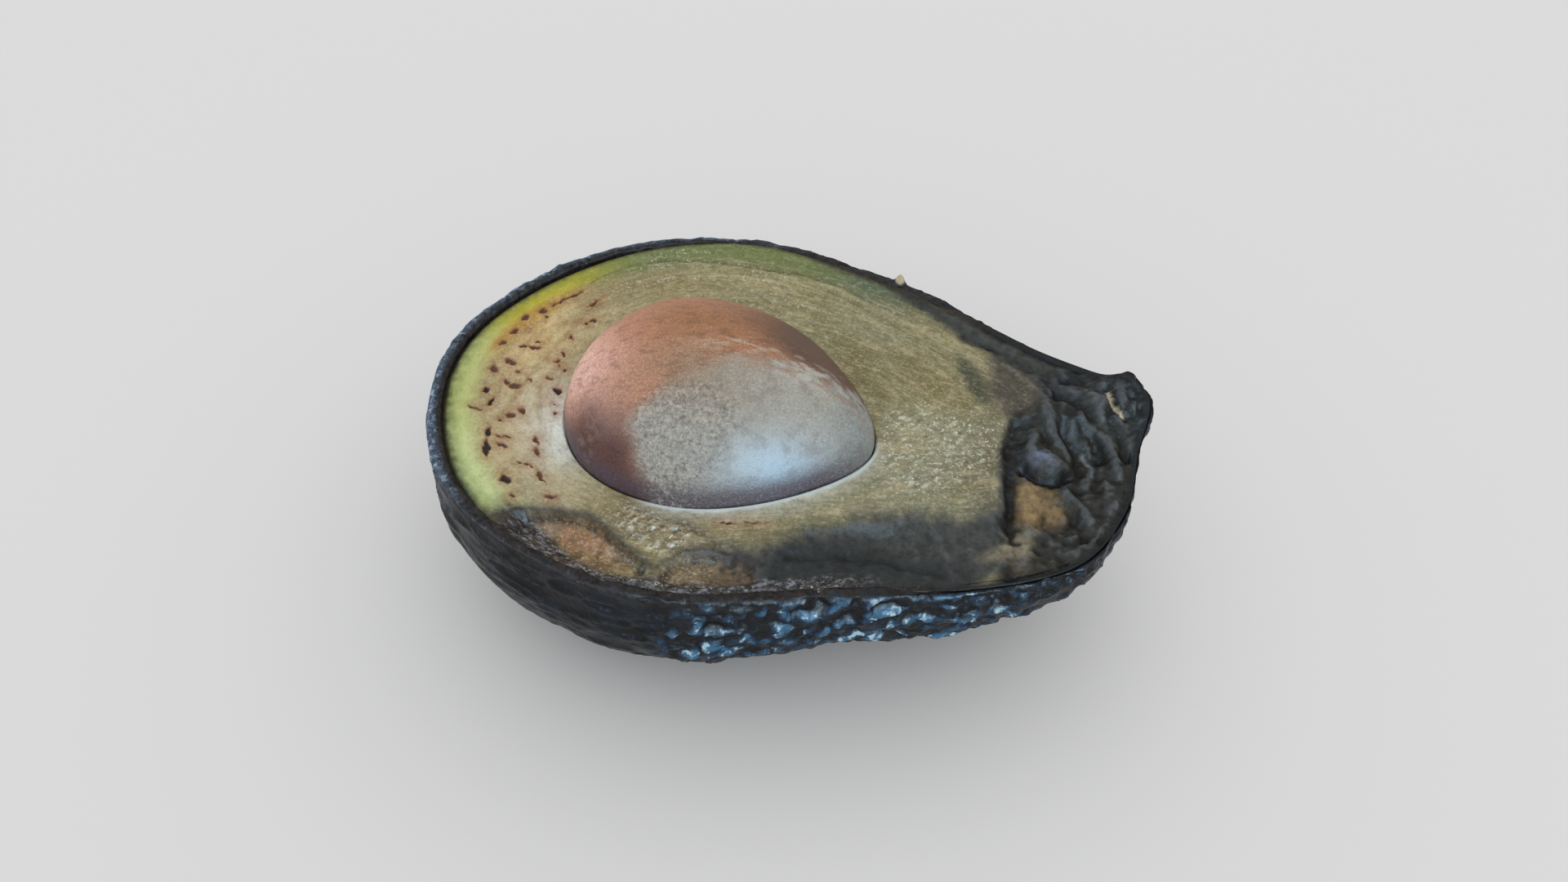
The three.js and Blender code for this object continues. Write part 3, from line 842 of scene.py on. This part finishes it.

# %% Flesh: browned hollows, crumbs with painted glints, and painted shade along the creases
strip_points = np.stack([x, y / 3, 0 * x], -1)
strips = smooth(waves(strip_points, 0.9, 3, 37), 0.0, 0.5) * (hollow_left + hollow_right)
hollow_shade = smooth(waves(flat, 2.6, 3, 34), -0.1, 0.45) * (hollow_left + 0.6 * hollow_right)
crumb_glints = smooth(waves(flat * (1, 1.6, 1), 0.6, 3, 38), 0.12, 0.42)
warm_middle = swell(wx, wy, (-21.5, -26.0), (6.5, 1.7), -8, 1)
pinkish_end = swell(wx, wy, (-29.5, -26.2), (3.6, 2.0), 20, 1)
coat = paint(
    coat,
    (colour(136, 114, 80), 0.9 * hollow_left),
    (WARM_BROWN, 0.85 * hollow_left * warm_middle),
    (colour(182, 160, 138), 0.85 * hollow_left * pinkish_end),
    (colour(120, 102, 80), 0.9 * hollow_right),
    (colour(168, 152, 128), 0.35 * strips),
    (colour(78, 62, 50), 0.5 * hollow_shade),
    (colour(46, 42, 42), 0.88 * crumbs),
    # painted glints on the crumbs
    (colour(148, 150, 162), 0.7 * crumbs * crumb_glints),
    (colour(86, 78, 66), 0.7 * near_line(wx, wy, SEED_RIDGE, 0.8)),
    # painted shade along the back crease and the neck crease
    (CREASE_SHADE, 0.45 * broken * near_line(lx, ly, BACK_CREASE, 0.24)),
    (CHARCOAL, 0.75 * near_line(lx, ly, NECK_CREASE, 0.9)),
)
print("crumbs cover", (crumbs > 0.5).mean().round(3), "of the cut face")

# %% Flesh: painted shade in the dips, painted highlights on the crests, and the last small marks
# A painted highlight on the blob, a painted shadow in the hollow under it, and a painted highlight
# along an arc.
BLOB_HIGHLIGHT = ((36.9, -0.9), (1.5, 0.8), -15)
SHADOW_UNDER_BLOB = [(35.2, -2.4), (37.2, -3.5), (39.8, -3.2), (41.4, -1.8)]
HIGHLIGHT_ARC = [(43.0, 2.6), (44.2, 1.2), (44.6, -0.6)]
# The first dab is painted shade in a dip between the stem end's folds, and the next two are painted
# highlights on its crests; the rest are the flesh's own tones.
LAST_DABS = [
    (40.9, 6.0, 2.2, 1.4, -35, colour(26, 27, 28), 0.85),
    (39.4, 11.9, 2.6, 1.0, -25, colour(92, 98, 102), 0.5),
    (45.2, 10.3, 1.4, 0.9, -60, colour(112, 118, 122), 0.5),
    (36.0, -17.1, 1.8, 1.2, -20, colour(116, 110, 98), 0.6),
    (-9.9, -23.3, 2.4, 1.1, 0, colour(104, 88, 60), 0.55),
    (-19.4, -21.6, 3.4, 1.5, -6, colour(176, 164, 130), 0.4),
    (-6.0, -25.1, 1.6, 0.6, 10, colour(128, 116, 100), 0.6),
]
cavity = blurred(z, 4) - z
ridge_line = np.minimum(line_distance(lx, ly, LEFT_RIDGE), line_distance(lx, ly, RIGHT_RIDGE))
ridge = np.exp(-(ridge_line / 0.6) ** 2)
# painted shade in the dips
coat = paint(coat, (colour(30, 27, 24), 0.8 * smooth(cavity, 0.03, 0.3)))
coat = paint(
    coat,
    # painted highlights on the crests, bluish ones on the stem end
    (coat * 1.5 + 0.008, 0.7 * smooth(-cavity, 0.02, 0.2)),
    (colour(100, 106, 112), 0.5 * stem_end * (1 - warm_patch) * smooth(-cavity, 0.06, 0.3)),
    # painted glints on the ripples of the glistening parts
    (colour(218, 220, 202), 0.55 * smooth(ripples, 0.24, 0.65)),
    # painted shadow along the ridges above the near hollows
    (colour(58, 53, 51), 0.85 * ridge),
    # painted highlight on the blob, painted shadow under it, painted highlight along the arc
    (colour(124, 136, 162), 0.85 * swell(wx, wy, *BLOB_HIGHLIGHT, 1)),
    (colour(22, 22, 22), 0.8 * near_line(lx, ly, SHADOW_UNDER_BLOB, 0.7)),
    (colour(150, 160, 170), 0.7 * near_line(wx, wy, HIGHLIGHT_ARC, 0.3)),
)
coat = dabbed(coat, wx, wy, LAST_DABS)
print("dips reach", cavity.max().round(2), "mm below what is round them")

# %% Flesh: edges, halos, the milky line and a painted shadow by the seed
SLIT = [(45.4, 11.4), (46.3, 9.4), (47.6, 7.8)]
edge_width = mix(0.6, 1.1, shrunk) + 0.8 * smooth(x, -8, 6) * smooth(y, 0, 10)
dark_edge = smooth(from_edge, edge_width + 0.9, edge_width - 0.6)
near_seed = smooth(-y, 2, 7) * smooth(x, -17, -12)
milk_line = smooth(from_seed, 1.0 + 0.5 * drift[..., 1], 0.25) * near_seed
edge_tint = paint(0 * coat + EDGE_BROWN, (CHARCOAL, stem_side))
coat = paint(
    coat,
    (edge_tint, 0.93 * dark_edge),
    (HALO_BROWN, 0.6 * halo * smooth(from_edge, 2, 5)),
    (MILK_CREAM, 0.4 * smooth(from_seed, 3.2, 0.6) * near_seed),
    (MILK, 0.9 * milk_line),
    # a painted shadow line where the flesh meets the seed's far side
    (SHADOW_BY_SEED, 0.6 * smooth(from_seed, 0.7, 0.1) * smooth(y, -3, 3)),
    (colour(206, 196, 168), smooth(line_distance(x, y, SLIT), 0.34, 0.08)),
)

# %% Flesh: values for its finish
dry = far_dark + stem_end + sunken + dark_edge + crumbs + 0.6 * ridge + 0.7 * brown_side
dry = np.clip(dry, 0, 1)
fine_grain = (1 - dry) * mix(1, 0.55, band) * (1 - 0.5 * fibrous) * (1 - 0.7 * milk_line)
strands = fine_grain * mix(0.25, 1, fibrous_part) * (1 - 0.6 * hollow_left)
strands *= (1 - 0.5 * hollow_right) * (1 - 0.6 * glistening)
wet_back = smooth(waves(grain, 2.0, 2, 35), -0.1, 0.5) * smooth(y, 16, 22) * smooth(x, 16, 4)
wet_and_glints = glistening + rippled + 0.2 * (hollow_left + hollow_right) + 0.8 * crumbs + 0.7 * wet_back
wet_and_glints = np.clip(wet_and_glints * (1 - ridge) * smooth(x, -32, -27), 0, 1)
for name, values in (("paint", coat), ("fleck", fleck), ("black_fleck", black_fleck),
                     ("grain", grain), ("dry", dry), ("fine_grain", fine_grain),
                     ("strands", strands), ("wet_and_glints", wet_and_glints)):
    store(flesh, name, on_face(values))
    print("flesh", name, "averages", values.mean().round(3))

# %% [markdown]
# ## The seed
# The seed is a smooth egg under a thin brown coat. On the near side it is pale: partly a dried
# film with a streaky upper edge and a leathery left edge, and partly a painted reflection of the
# sky. Its shape is a net of rings like the others, with very low relief.

# %% Seed: rings of the bare shape
SEED_AROUND = 440
SEED_ROWS = 200
LEATHERY = [(-17.4, -13.2), (-16.4, -11.6), (-14.4, -9.6), (-11, -8.2), (-6, -8.4), (-3, -11),
            (-3.6, -15), (-6, -18.4), (-10, -20.6), (-13.6, -20), (-15, -18), (-16.4, -16)]
WRINKLED = [(-23.6, -13), (-21.6, -14.4), (-22.4, -17), (-25.4, -16.4), (-25.6, -14)]

around = 2 * np.pi * np.arange(SEED_AROUND) / SEED_AROUND
lift = (np.pi * (np.arange(1, SEED_ROWS + 1) / (SEED_ROWS + 1) - 0.5))[:, None]
bare = seed_point(around + 0 * lift, lift + 0 * around, 0)
sx, sy, sz = np.moveaxis(bare, -1, 0)
ragged_x, ragged_y = sx + 0.5 * waves(bare, 2.6, 3, 41), sy + 0.5 * waves(bare, 2.6, 3, 42)
leathery = inside(ragged_x, ragged_y, LEATHERY, 0.9)
wrinkled = inside(sx, sy, WRINKLED, 1.2)
print("seed net:", bare.shape[:2])

# %% Seed: low relief, then the mesh
seed_height = (
    0.25 * waves(bare, 11, 2, 43)
    + 0.15 * leathery * waves(bare, 0.9, 3, 44)
    + 0.12 * leathery
    + 0.25 * wrinkled * waves(bare, 1.2, 3, 47)
    + 0.03 * waves(bare, 1.5, 3, 45)
)
seed_rings = bare + normals_of(bare) * seed_height[..., None]
foot, top = (seed_point(np.array(0.0), np.array(end * np.pi / 2), 0) for end in (-1, 1))
seed = ring_mesh("seed_egg", foot, seed_rings, top)

# %% Seed: colours, dabs and the outline of the pale film and painted reflection
SEED_TAN = colour(172, 122, 90)
SEED_PINK = colour(222, 172, 156)
SEED_DARK = colour(72, 54, 44)
SEED_SHADE = colour(94, 70, 54)
SEED_RED = colour(82, 46, 38)
SEED_PLUM = colour(84, 72, 84)
FILM_AND_SHEEN_GREY = colour(162, 161, 152)
FILM_TAN = colour(150, 130, 108)
SHEEN_BLUE = colour(176, 210, 236)
FILM_COOL = colour(128, 144, 148)
FILM_WHITE = colour(206, 204, 194)

SEED_DABS = [
    (-27, -3, 6, 10, 15, SEED_PINK, 0.9),
    (-22, 3, 6, 5, 40, colour(190, 134, 100), 0.6),
    (-12, 3, 9, 5, -10, colour(150, 104, 66), 0.8),
    (0, 5, 9, 4.5, -25, colour(116, 80, 52), 0.95),
    (3, 6, 8, 3.6, -35, SEED_DARK, 0.9),
    (8, 2.5, 6, 3.6, -45, colour(62, 46, 38), 0.95),
    (-25, -14.5, 6, 3.8, -35, SEED_RED, 0.92),
    (-19, -17, 6, 3.4, -30, SEED_RED, 0.95),
    (-10, -6, 7, 3.5, -5, FILM_TAN, 0.75),
    (4, 1.2, 7, 2.0, -14, colour(76, 58, 46), 0.85),
    (-28.6, -3, 3.4, 6.5, 8, colour(238, 194, 180), 0.8),
]
FILM_AND_SHEEN = [(15, -1.0), (10.5, -1.0), (6.5, -1.4), (2.6, -1.5), (-2, -2.2), (-6, -4.0), (-9.4, -6.6),
        (-12, -8.6), (-15.4, -11.8), (-17.4, -13.6), (-16, -16.4), (-14.8, -18.4), (-13.4, -20),
        (-12, -26), (22, -26), (22, -2)]
print(len(SEED_DABS), "dabs on the seed")

# %% Seed: paint
film_and_sheen = inside(ragged_x, ragged_y, FILM_AND_SHEEN, 1.7)
streaks = waves(bare * (0.22, 1.3, 1.3), 1.2, 3, 46)
upper_edge = smooth(sy, -7, -1) * smooth(sx, -12, -4)
film_and_sheen_cover = np.clip(film_and_sheen * (1 - 0.75 * upper_edge * smooth(streaks, 0.25, -0.35)), 0, 1)
white_streak = smooth(streaks, 0.0, 0.5) * swell(sx, sy, (0.5, -1.9), (9, 2.3), -3, 1)
low_edge_shade = smooth(sz, SEED_LEVEL + 4.6, SEED_LEVEL + 0.8) * smooth(-sy, 4, 13)
rim_shade = smooth(sz, SEED_LEVEL + 3.4, SEED_LEVEL + 0.2) * smooth(sy, -6, 4)
crisp = np.clip(leathery + 0.25 * wrinkled, 0, 1)
seed_dip = blurred(seed_height, 2) - seed_height

seed_paint = dabbed(np.zeros((*sx.shape, 3)) + SEED_TAN, ragged_x, ragged_y, SEED_DABS)
film_and_sheen_tint = paint(
    0 * seed_paint + FILM_AND_SHEEN_GREY,
    (FILM_TAN, 0.7 * smooth(sx, 2, -10) * smooth(sy, -16, -8)),
    # painted sheen: a reflection of the sky
    (SHEEN_BLUE, 0.9 * swell(sx, sy, (4.2, -14.9), (7.5, 3.0), 16, 1)),
    (FILM_COOL, 0.6 * smooth(sx, 6, 12)),
)
seed_paint = paint(
    seed_paint,
    (SEED_SHADE, 0.9 * smooth(sx, -3, 5) * smooth(sy, -4, 0.5)),
    (film_and_sheen_tint, film_and_sheen_cover),
    (FILM_WHITE, 0.6 * white_streak),
    # painted shade along the low edge, where the seed curves under into the flesh
    (SEED_PLUM, 0.9 * low_edge_shade),
    (SEED_DARK, 0.7 * rim_shade * smooth(sx, -20, -4)),
    # painted shade in the seed's dips and painted highlights on its crests
    (colour(92, 78, 68), 0.38 * crisp * smooth(seed_dip, 0.0, 0.09)),
    (colour(210, 204, 192), 0.3 * crisp * smooth(-seed_dip, 0.0, 0.09)),
)
for name, values in (("paint", seed_paint), ("film_and_sheen", film_and_sheen_cover), ("leathery", leathery)):
    store(seed, name, values)
    print("seed", name, "averages", values.mean().round(3))

# %% [markdown]
# ## Finishes
# A finish is a network of shader nodes. To keep it readable, a small class wraps each socket, so
# that `1 - mask` or `noise * 0.3 + base` add the Math nodes they need. A second class holds the
# material. Its `coats` lays thin colours over one another, as the paint on the mesh is laid.

# %% Shader values that behave like numbers
class Value:
    """A shader socket that can be added and multiplied like a number."""

    def __init__(self, finish, socket):
        self.finish = finish
        self.socket = socket

    def math(self, operation, a, b):
        return self.finish.node("ShaderNodeMath", {"operation": operation}, {0: a, 1: b})

    def __add__(self, other):
        return self.math("ADD", self, other)

    def __sub__(self, other):
        return self.math("SUBTRACT", self, other)

    def __rsub__(self, other):
        return self.math("SUBTRACT", other, self)

    def __mul__(self, other):
        return self.math("MULTIPLY", self, other)

    __radd__ = __add__
    __rmul__ = __mul__

    def tinted(self, amount):
        """A colour made this many times as bright."""
        values = {0: self, 3: amount}
        return self.finish.node("ShaderNodeVectorMath", {"operation": "SCALE"}, values)

    def step(self, low_end, high_end):
        """0 at low_end, 1 at high_end, and smooth in between."""
        ends = {"From Min": low_end, "From Max": high_end}
        settings = {"interpolation_type": "SMOOTHSTEP"}
        return self.finish.node("ShaderNodeMapRange", settings, {"Value": self, **ends})


# %% One material and its nodes
class Finish:
    """One material, and the method that adds its nodes."""

    def __init__(self, name):
        self.material = bpy.data.materials.new(name)
        self.material.use_nodes = True
        self.tree = self.material.node_tree
        self.tree.nodes.clear()
        self.shader = self.tree.nodes.new("ShaderNodeBsdfPrincipled")
        output = self.tree.nodes.new("ShaderNodeOutputMaterial")
        self.tree.links.new(self.shader.outputs[0], output.inputs[0])

    def fill(self, sockets, values):
        for key, value in values.items():
            if isinstance(value, Value):
                self.tree.links.new(value.socket, sockets[key])
            else:
                sockets[key].default_value = value

    def node(self, kind, settings, values, out=0):
        """Adds one node: its settings first, then its values or links. Returns one output."""
        node = self.tree.nodes.new(kind)
        for key, value in settings.items():
            setattr(node, key, value)
        self.fill(node.inputs, values)
        return Value(self, node.outputs[out])

    def stored(self, *names, field="Fac"):
        """Values that were stored on the mesh, by name."""
        found = [self.node("ShaderNodeAttribute", {"attribute_name": n}, {}, field) for n in names]
        return found if len(found) > 1 else found[0]

    def place(self):
        """The point's own place on the piece, in metres."""
        return self.node("ShaderNodeTexCoord", {}, {}, "Object")

    def grains(self, where, per_unit, detail=3.0, rough=0.55):
        """Noise from 0 to 1 with this many features to each unit of the place."""
        values = {"Vector": where, "Scale": per_unit, "Detail": detail, "Roughness": rough}
        return self.node("ShaderNodeTexNoise", {}, values, 0)

    def coats(self, ground, *coats):
        """Thin coats over a ground, in turn: each is a colour and how strongly it shows."""
        for tint, share in coats:
            above = tint if isinstance(tint, Value) else rgba(tint)
            settings = {"data_type": "RGBA", "blend_type": "MIX"}
            ground = self.node("ShaderNodeMix", settings, {0: share, 6: ground, 7: above}, 2)
        return ground

    def bump(self, height, distance, strength=0.9):
        """Fine relief. The distance is in metres."""
        values = {"Height": height, "Distance": distance, "Strength": strength}
        return self.node("ShaderNodeBump", {}, values, 0)

    def set(self, **values):
        """Fills the main shader's sockets and returns the material."""
        named = {key.replace("_", " "): value for key, value in values.items()}
        self.fill(self.shader.inputs, named)
        print(self.material.name, "finish has", len(self.tree.nodes), "nodes")
        return self.material


def rgba(tint):
    return (*tint, 1.0)


# %% [markdown]
# ### The rind's finish
# The rind is a near-black leather. Its highlights are painted in three coats, dark blue, mid blue
# and small white cores, because a rough white shine alone would turn grey. Its crevices get painted
# shade, and its lip a blue-grey that is partly dust and partly painted highlight, with painted
# glints. The shine stays low and uneven, so that the soft boxes only pick out the crests.

# %% Finish: rind
def rind_finish():
    f = Finish("rind")
    place = f.place()
    crevice_shade, lip, lip_dust_and_glint, torn = f.stored("crevice_shade", "lip", "lip_dust_and_glint", "torn")
    mottle = f.grains(place, 240)
    fine = f.grains(place, 1300, 5.0, 0.65)
    glint = f.grains(place, 700, 3.0, 0.6)
    pits = f.node("ShaderNodeTexVoronoi", {}, {"Vector": place, "Scale": 1300}, "Distance")
    painted_highlight = f.stored("painted_highlight") + (fine - 0.5) * 0.9
    coat = f.coats(
        rgba(colour(26, 32, 40)),
        (colour(8, 9, 12), mottle.step(0.35, 0.65)),
        # painted shade in the crevices
        (colour(24, 19, 17), crevice_shade.step(0.3, 1.0) * 0.7),
        (colour(70, 84, 98), fine.step(0.58, 0.76) * 0.3),
        # painted highlight in three coats: dark blue, mid blue and small white cores
        (colour(32, 60, 86), painted_highlight.step(0.05, 0.5) * 0.85),
        (colour(74, 122, 158), painted_highlight.step(0.4, 1.1) * 0.75),
        (colour(190, 222, 236), painted_highlight.step(0.35, 0.8) * glint.step(0.53, 0.64) * 0.9),
        (colour(50, 42, 38), lip * fine.step(0.38, 0.54) * 0.8),
        (colour(118, 116, 112), lip * fine.step(0.60, 0.74) * 0.5),
        # blue-grey on the lip, partly dust and partly painted highlight, then painted glints
        (colour(74, 92, 112), lip_dust_and_glint * fine.step(0.32, 0.5) * 0.85),
        (colour(160, 184, 208), lip_dust_and_glint * fine.step(0.5, 0.64) * glint.step(0.4, 0.55) * 0.8),
        (colour(196, 182, 150), torn.step(0.3, 0.6)),
    )
    shine = 0.16 + mottle * 0.14 + crevice_shade * 0.12 + fine * 0.12 + lip * 0.2
    relief = f.bump(fine * 0.7 + pits * 0.4, 0.00022)
    return f.set(Base_Color=coat, Roughness=shine, Normal=relief, Specular_IOR_Level=0.15)


# %% [markdown]
# ### The flesh's finish
# Cut flesh is soft and fibrous. The stored `grain` runs round the fruit, so noise on it becomes
# long fibres. Wet parts get painted bright glints and a clear coat, and dry parts get dark and pale
# specks. The flecks are drawn here rather than on the mesh, because their ragged edges are finer
# than its net.

# %% Finish: flesh
def flesh_finish():
    f = Finish("flesh")
    place = f.place()
    grain, painted = f.stored("grain", "paint", field="Vector")
    dry, wet_and_glints, fine_grain, strands = f.stored("dry", "wet_and_glints", "fine_grain", "strands")
    fleck, black_fleck = f.stored("fleck", "black_fleck")
    fibres = f.grains(grain, 2.0, 6.0, 0.72)
    hairs = f.grains(grain, 6.0, 4.0, 0.7)
    specks = f.grains(place, 2400, 3.0, 0.7)
    cloud = f.grains(place, 800, 5.0, 0.72)
    glints = (specks * 0.75 + hairs * 0.3).step(0.57, 0.70)
    ragged = fleck + (cloud - 0.5) * 0.6
    ragged_black = black_fleck + (cloud - 0.5) * 0.5
    coat = f.coats(
        painted,
        (colour(214, 208, 170), fibres.step(0.5, 0.66) * strands * 0.34),
        (colour(92, 78, 40), (1 - fibres.step(0.32, 0.5)) * strands * 0.34),
        (colour(224, 220, 190), hairs.step(0.54, 0.68) * strands * 0.28),
        (colour(96, 82, 48), (1 - cloud.step(0.34, 0.5)) * fine_grain * 0.28),
        (colour(222, 216, 184), cloud.step(0.52, 0.74) * fine_grain * 0.36),
        (colour(230, 228, 204), specks.step(0.52, 0.68) * fine_grain * 0.25),
        (colour(84, 78, 50), (1 - specks.step(0.34, 0.48)) * fine_grain * 0.25),
        # painted glints on the wet parts
        (colour(238, 242, 234), glints * wet_and_glints * 0.85),
        (colour(26, 26, 27), (1 - cloud.step(0.35, 0.6)) * dry * 0.45),
        (colour(112, 114, 112), specks.step(0.58, 0.8) * dry * 0.28),
        (HALO_BROWN, ragged.step(0.2, 0.5) * 0.6),
        (FLECK_BROWN, ragged.step(0.4, 0.7) * 0.9),
        (BLACK, ragged_black.step(0.45, 0.75) * 0.85),
    )
    height = (fibres * 0.8 + hairs * 0.35) * strands + cloud * 0.5 + specks * 0.25
    return f.set(Base_Color=coat, Roughness=0.4 - wet_and_glints * 0.12 + cloud * 0.12,
                 Normal=f.bump(height, 0.00025), Specular_IOR_Level=0.1,
                 Coat_Weight=wet_and_glints * 0.35, Coat_Roughness=0.3)


# %% [markdown]
# ### The seed's finish
# The bare coat of the seed is finely gritty, brown and slightly streaked along its length. The
# dry film, which is partly a painted reflection of the sky, is paler and duller, and its leathery
# part is crinkled, with painted highlights on the crinkles' tops and painted shade between them.
# All three share a few noises, and the stored `film_and_sheen` and `leathery` say which of them
# shows.

# %% Finish: seed
def seed_finish():
    f = Finish("seed")
    place = f.place()
    film_and_sheen, leathery = f.stored("film_and_sheen", "leathery")
    painted = f.stored("paint", field="Vector")
    stretch = f.node("ShaderNodeMapping", {}, {"Vector": place, "Scale": (0.4, 1.0, 1.0)}, 0)
    streaks = f.grains(stretch, 900, 5.0, 0.65)
    grit = f.grains(place, 3400, 3.0, 0.7)
    cloud = f.grains(place, 500, 4.0, 0.6)
    crinkle = f.grains(place, 1700, 3.0, 0.6)
    bare = 1 - film_and_sheen
    coat = f.coats(painted, (painted.tinted(1.7), grit.step(0.5, 0.68) * bare * 0.6))
    coat = f.coats(
        coat,
        (coat.tinted(0.45), (1 - grit.step(0.34, 0.5)) * bare * 0.5),
        (colour(96, 64, 46), (1 - streaks.step(0.34, 0.52)) * bare * 0.4),
        (colour(214, 214, 208), grit.step(0.5, 0.7) * film_and_sheen * 0.3),
        (colour(104, 92, 84), (1 - cloud.step(0.36, 0.52)) * film_and_sheen * 0.3),
        (colour(84, 70, 62), (1 - grit.step(0.32, 0.48)) * film_and_sheen * 0.3),
        # painted highlights on the crinkles' tops and painted shade between them
        (colour(206, 198, 182), crinkle.step(0.52, 0.66) * leathery * 0.38),
        (colour(84, 70, 60), (1 - crinkle.step(0.34, 0.48)) * leathery * 0.38),
    )
    relief = f.bump(streaks * 0.5 + grit * 0.5 + crinkle * leathery * 2.6, 0.00016)
    return f.set(Base_Color=coat, Roughness=0.4 + grit * 0.2 + leathery * 0.1,
                 Normal=relief, Specular_IOR_Level=0.22)


# %% Put the finishes on and fasten the pieces to the frame
for piece, finish, node, slot in ((rind, rind_finish, "skin", "rind"),
                                  (flesh, flesh_finish, "flesh", "flesh"),
                                  (seed, seed_finish, "seed", "seed")):
    piece.data.materials.append(finish())
    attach(piece, "root")
    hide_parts(node)
    print(piece.name, "stands for", node)

# %% [markdown]
# ## Floor and light
# A pale floor under an even white sky gives the soft shadow that hugs the fruit. A faint wide sun
# from behind adds a little direction. Two bluish soft boxes, at the near right and at the left,
# add real cold glints on the wet flesh and the rind, over the highlights and glints painted into
# their colours.

# %% Floor
FLOOR_HALF = 4.0          # m
FLOOR_DROP = 0.00005      # m, keeps the floor just clear of the foot
floor_look = Finish("floor")
half_signs = ((-1, -1), (1, -1), (1, 1), (-1, 1))
corners = [(FLOOR_HALF * across, FLOOR_HALF * away, 0) for across, away in half_signs]
floor_mesh = bpy.data.meshes.new("floor")
floor_mesh.from_pydata(corners, [], [(0, 1, 2, 3)])
floor_mesh.materials.append(floor_look.set(
    Base_Color=rgba(colour(226, 226, 226)), Roughness=0.9, Specular_IOR_Level=0.0))
floor = bpy.data.objects.new("floor", floor_mesh)
floor.location.z = -FLOOR_DROP
bpy.context.collection.objects.link(floor)

# %% Sky
SKY_STRENGTH = 0.915
world = bpy.data.worlds.new("sky")
world.use_nodes = True
sky = world.node_tree.nodes["Background"].inputs
sky["Color"].default_value = (1, 1, 1, 1)
sky["Strength"].default_value = SKY_STRENGTH
bpy.context.scene.world = world
bpy.context.scene.view_settings.view_transform = "Standard"
print("sky strength", SKY_STRENGTH)


# %% Sun and soft boxes
def lamp(name, kind, azimuth, elevation, distance, **settings):
    """A light that faces the fruit. Azimuth 0 is the near side, and the distance is in metres."""
    a, e = math.radians(azimuth), math.radians(elevation)
    away = Vector((math.sin(a) * math.cos(e), -math.cos(a) * math.cos(e), math.sin(e)))
    data = bpy.data.lights.new(name, kind)
    for key, value in settings.items():
        setattr(data, key, value)
    holder = bpy.data.objects.new(name, data)
    holder.location = target + away * distance
    holder.rotation_euler = away.to_track_quat("Z", "Y").to_euler()
    bpy.context.collection.objects.link(holder)
    print(name, "shines from", [round(v, 2) for v in holder.location])
    return holder


COLD = (0.55, 0.8, 1.0)
lamp("high_sun", "SUN", 200, 62, 1, energy=0.08, angle=math.radians(40))
near_box = lamp("near_box", "AREA", 24, 20, 0.5, energy=10, size=0.28, color=COLD)
left_box = lamp("left_box", "AREA", -75, 35, 0.5, energy=2.5, size=0.3, color=COLD)
for box in (near_box, left_box):
    box.visible_diffuse = False       # these only make glints, and leave the floor alone
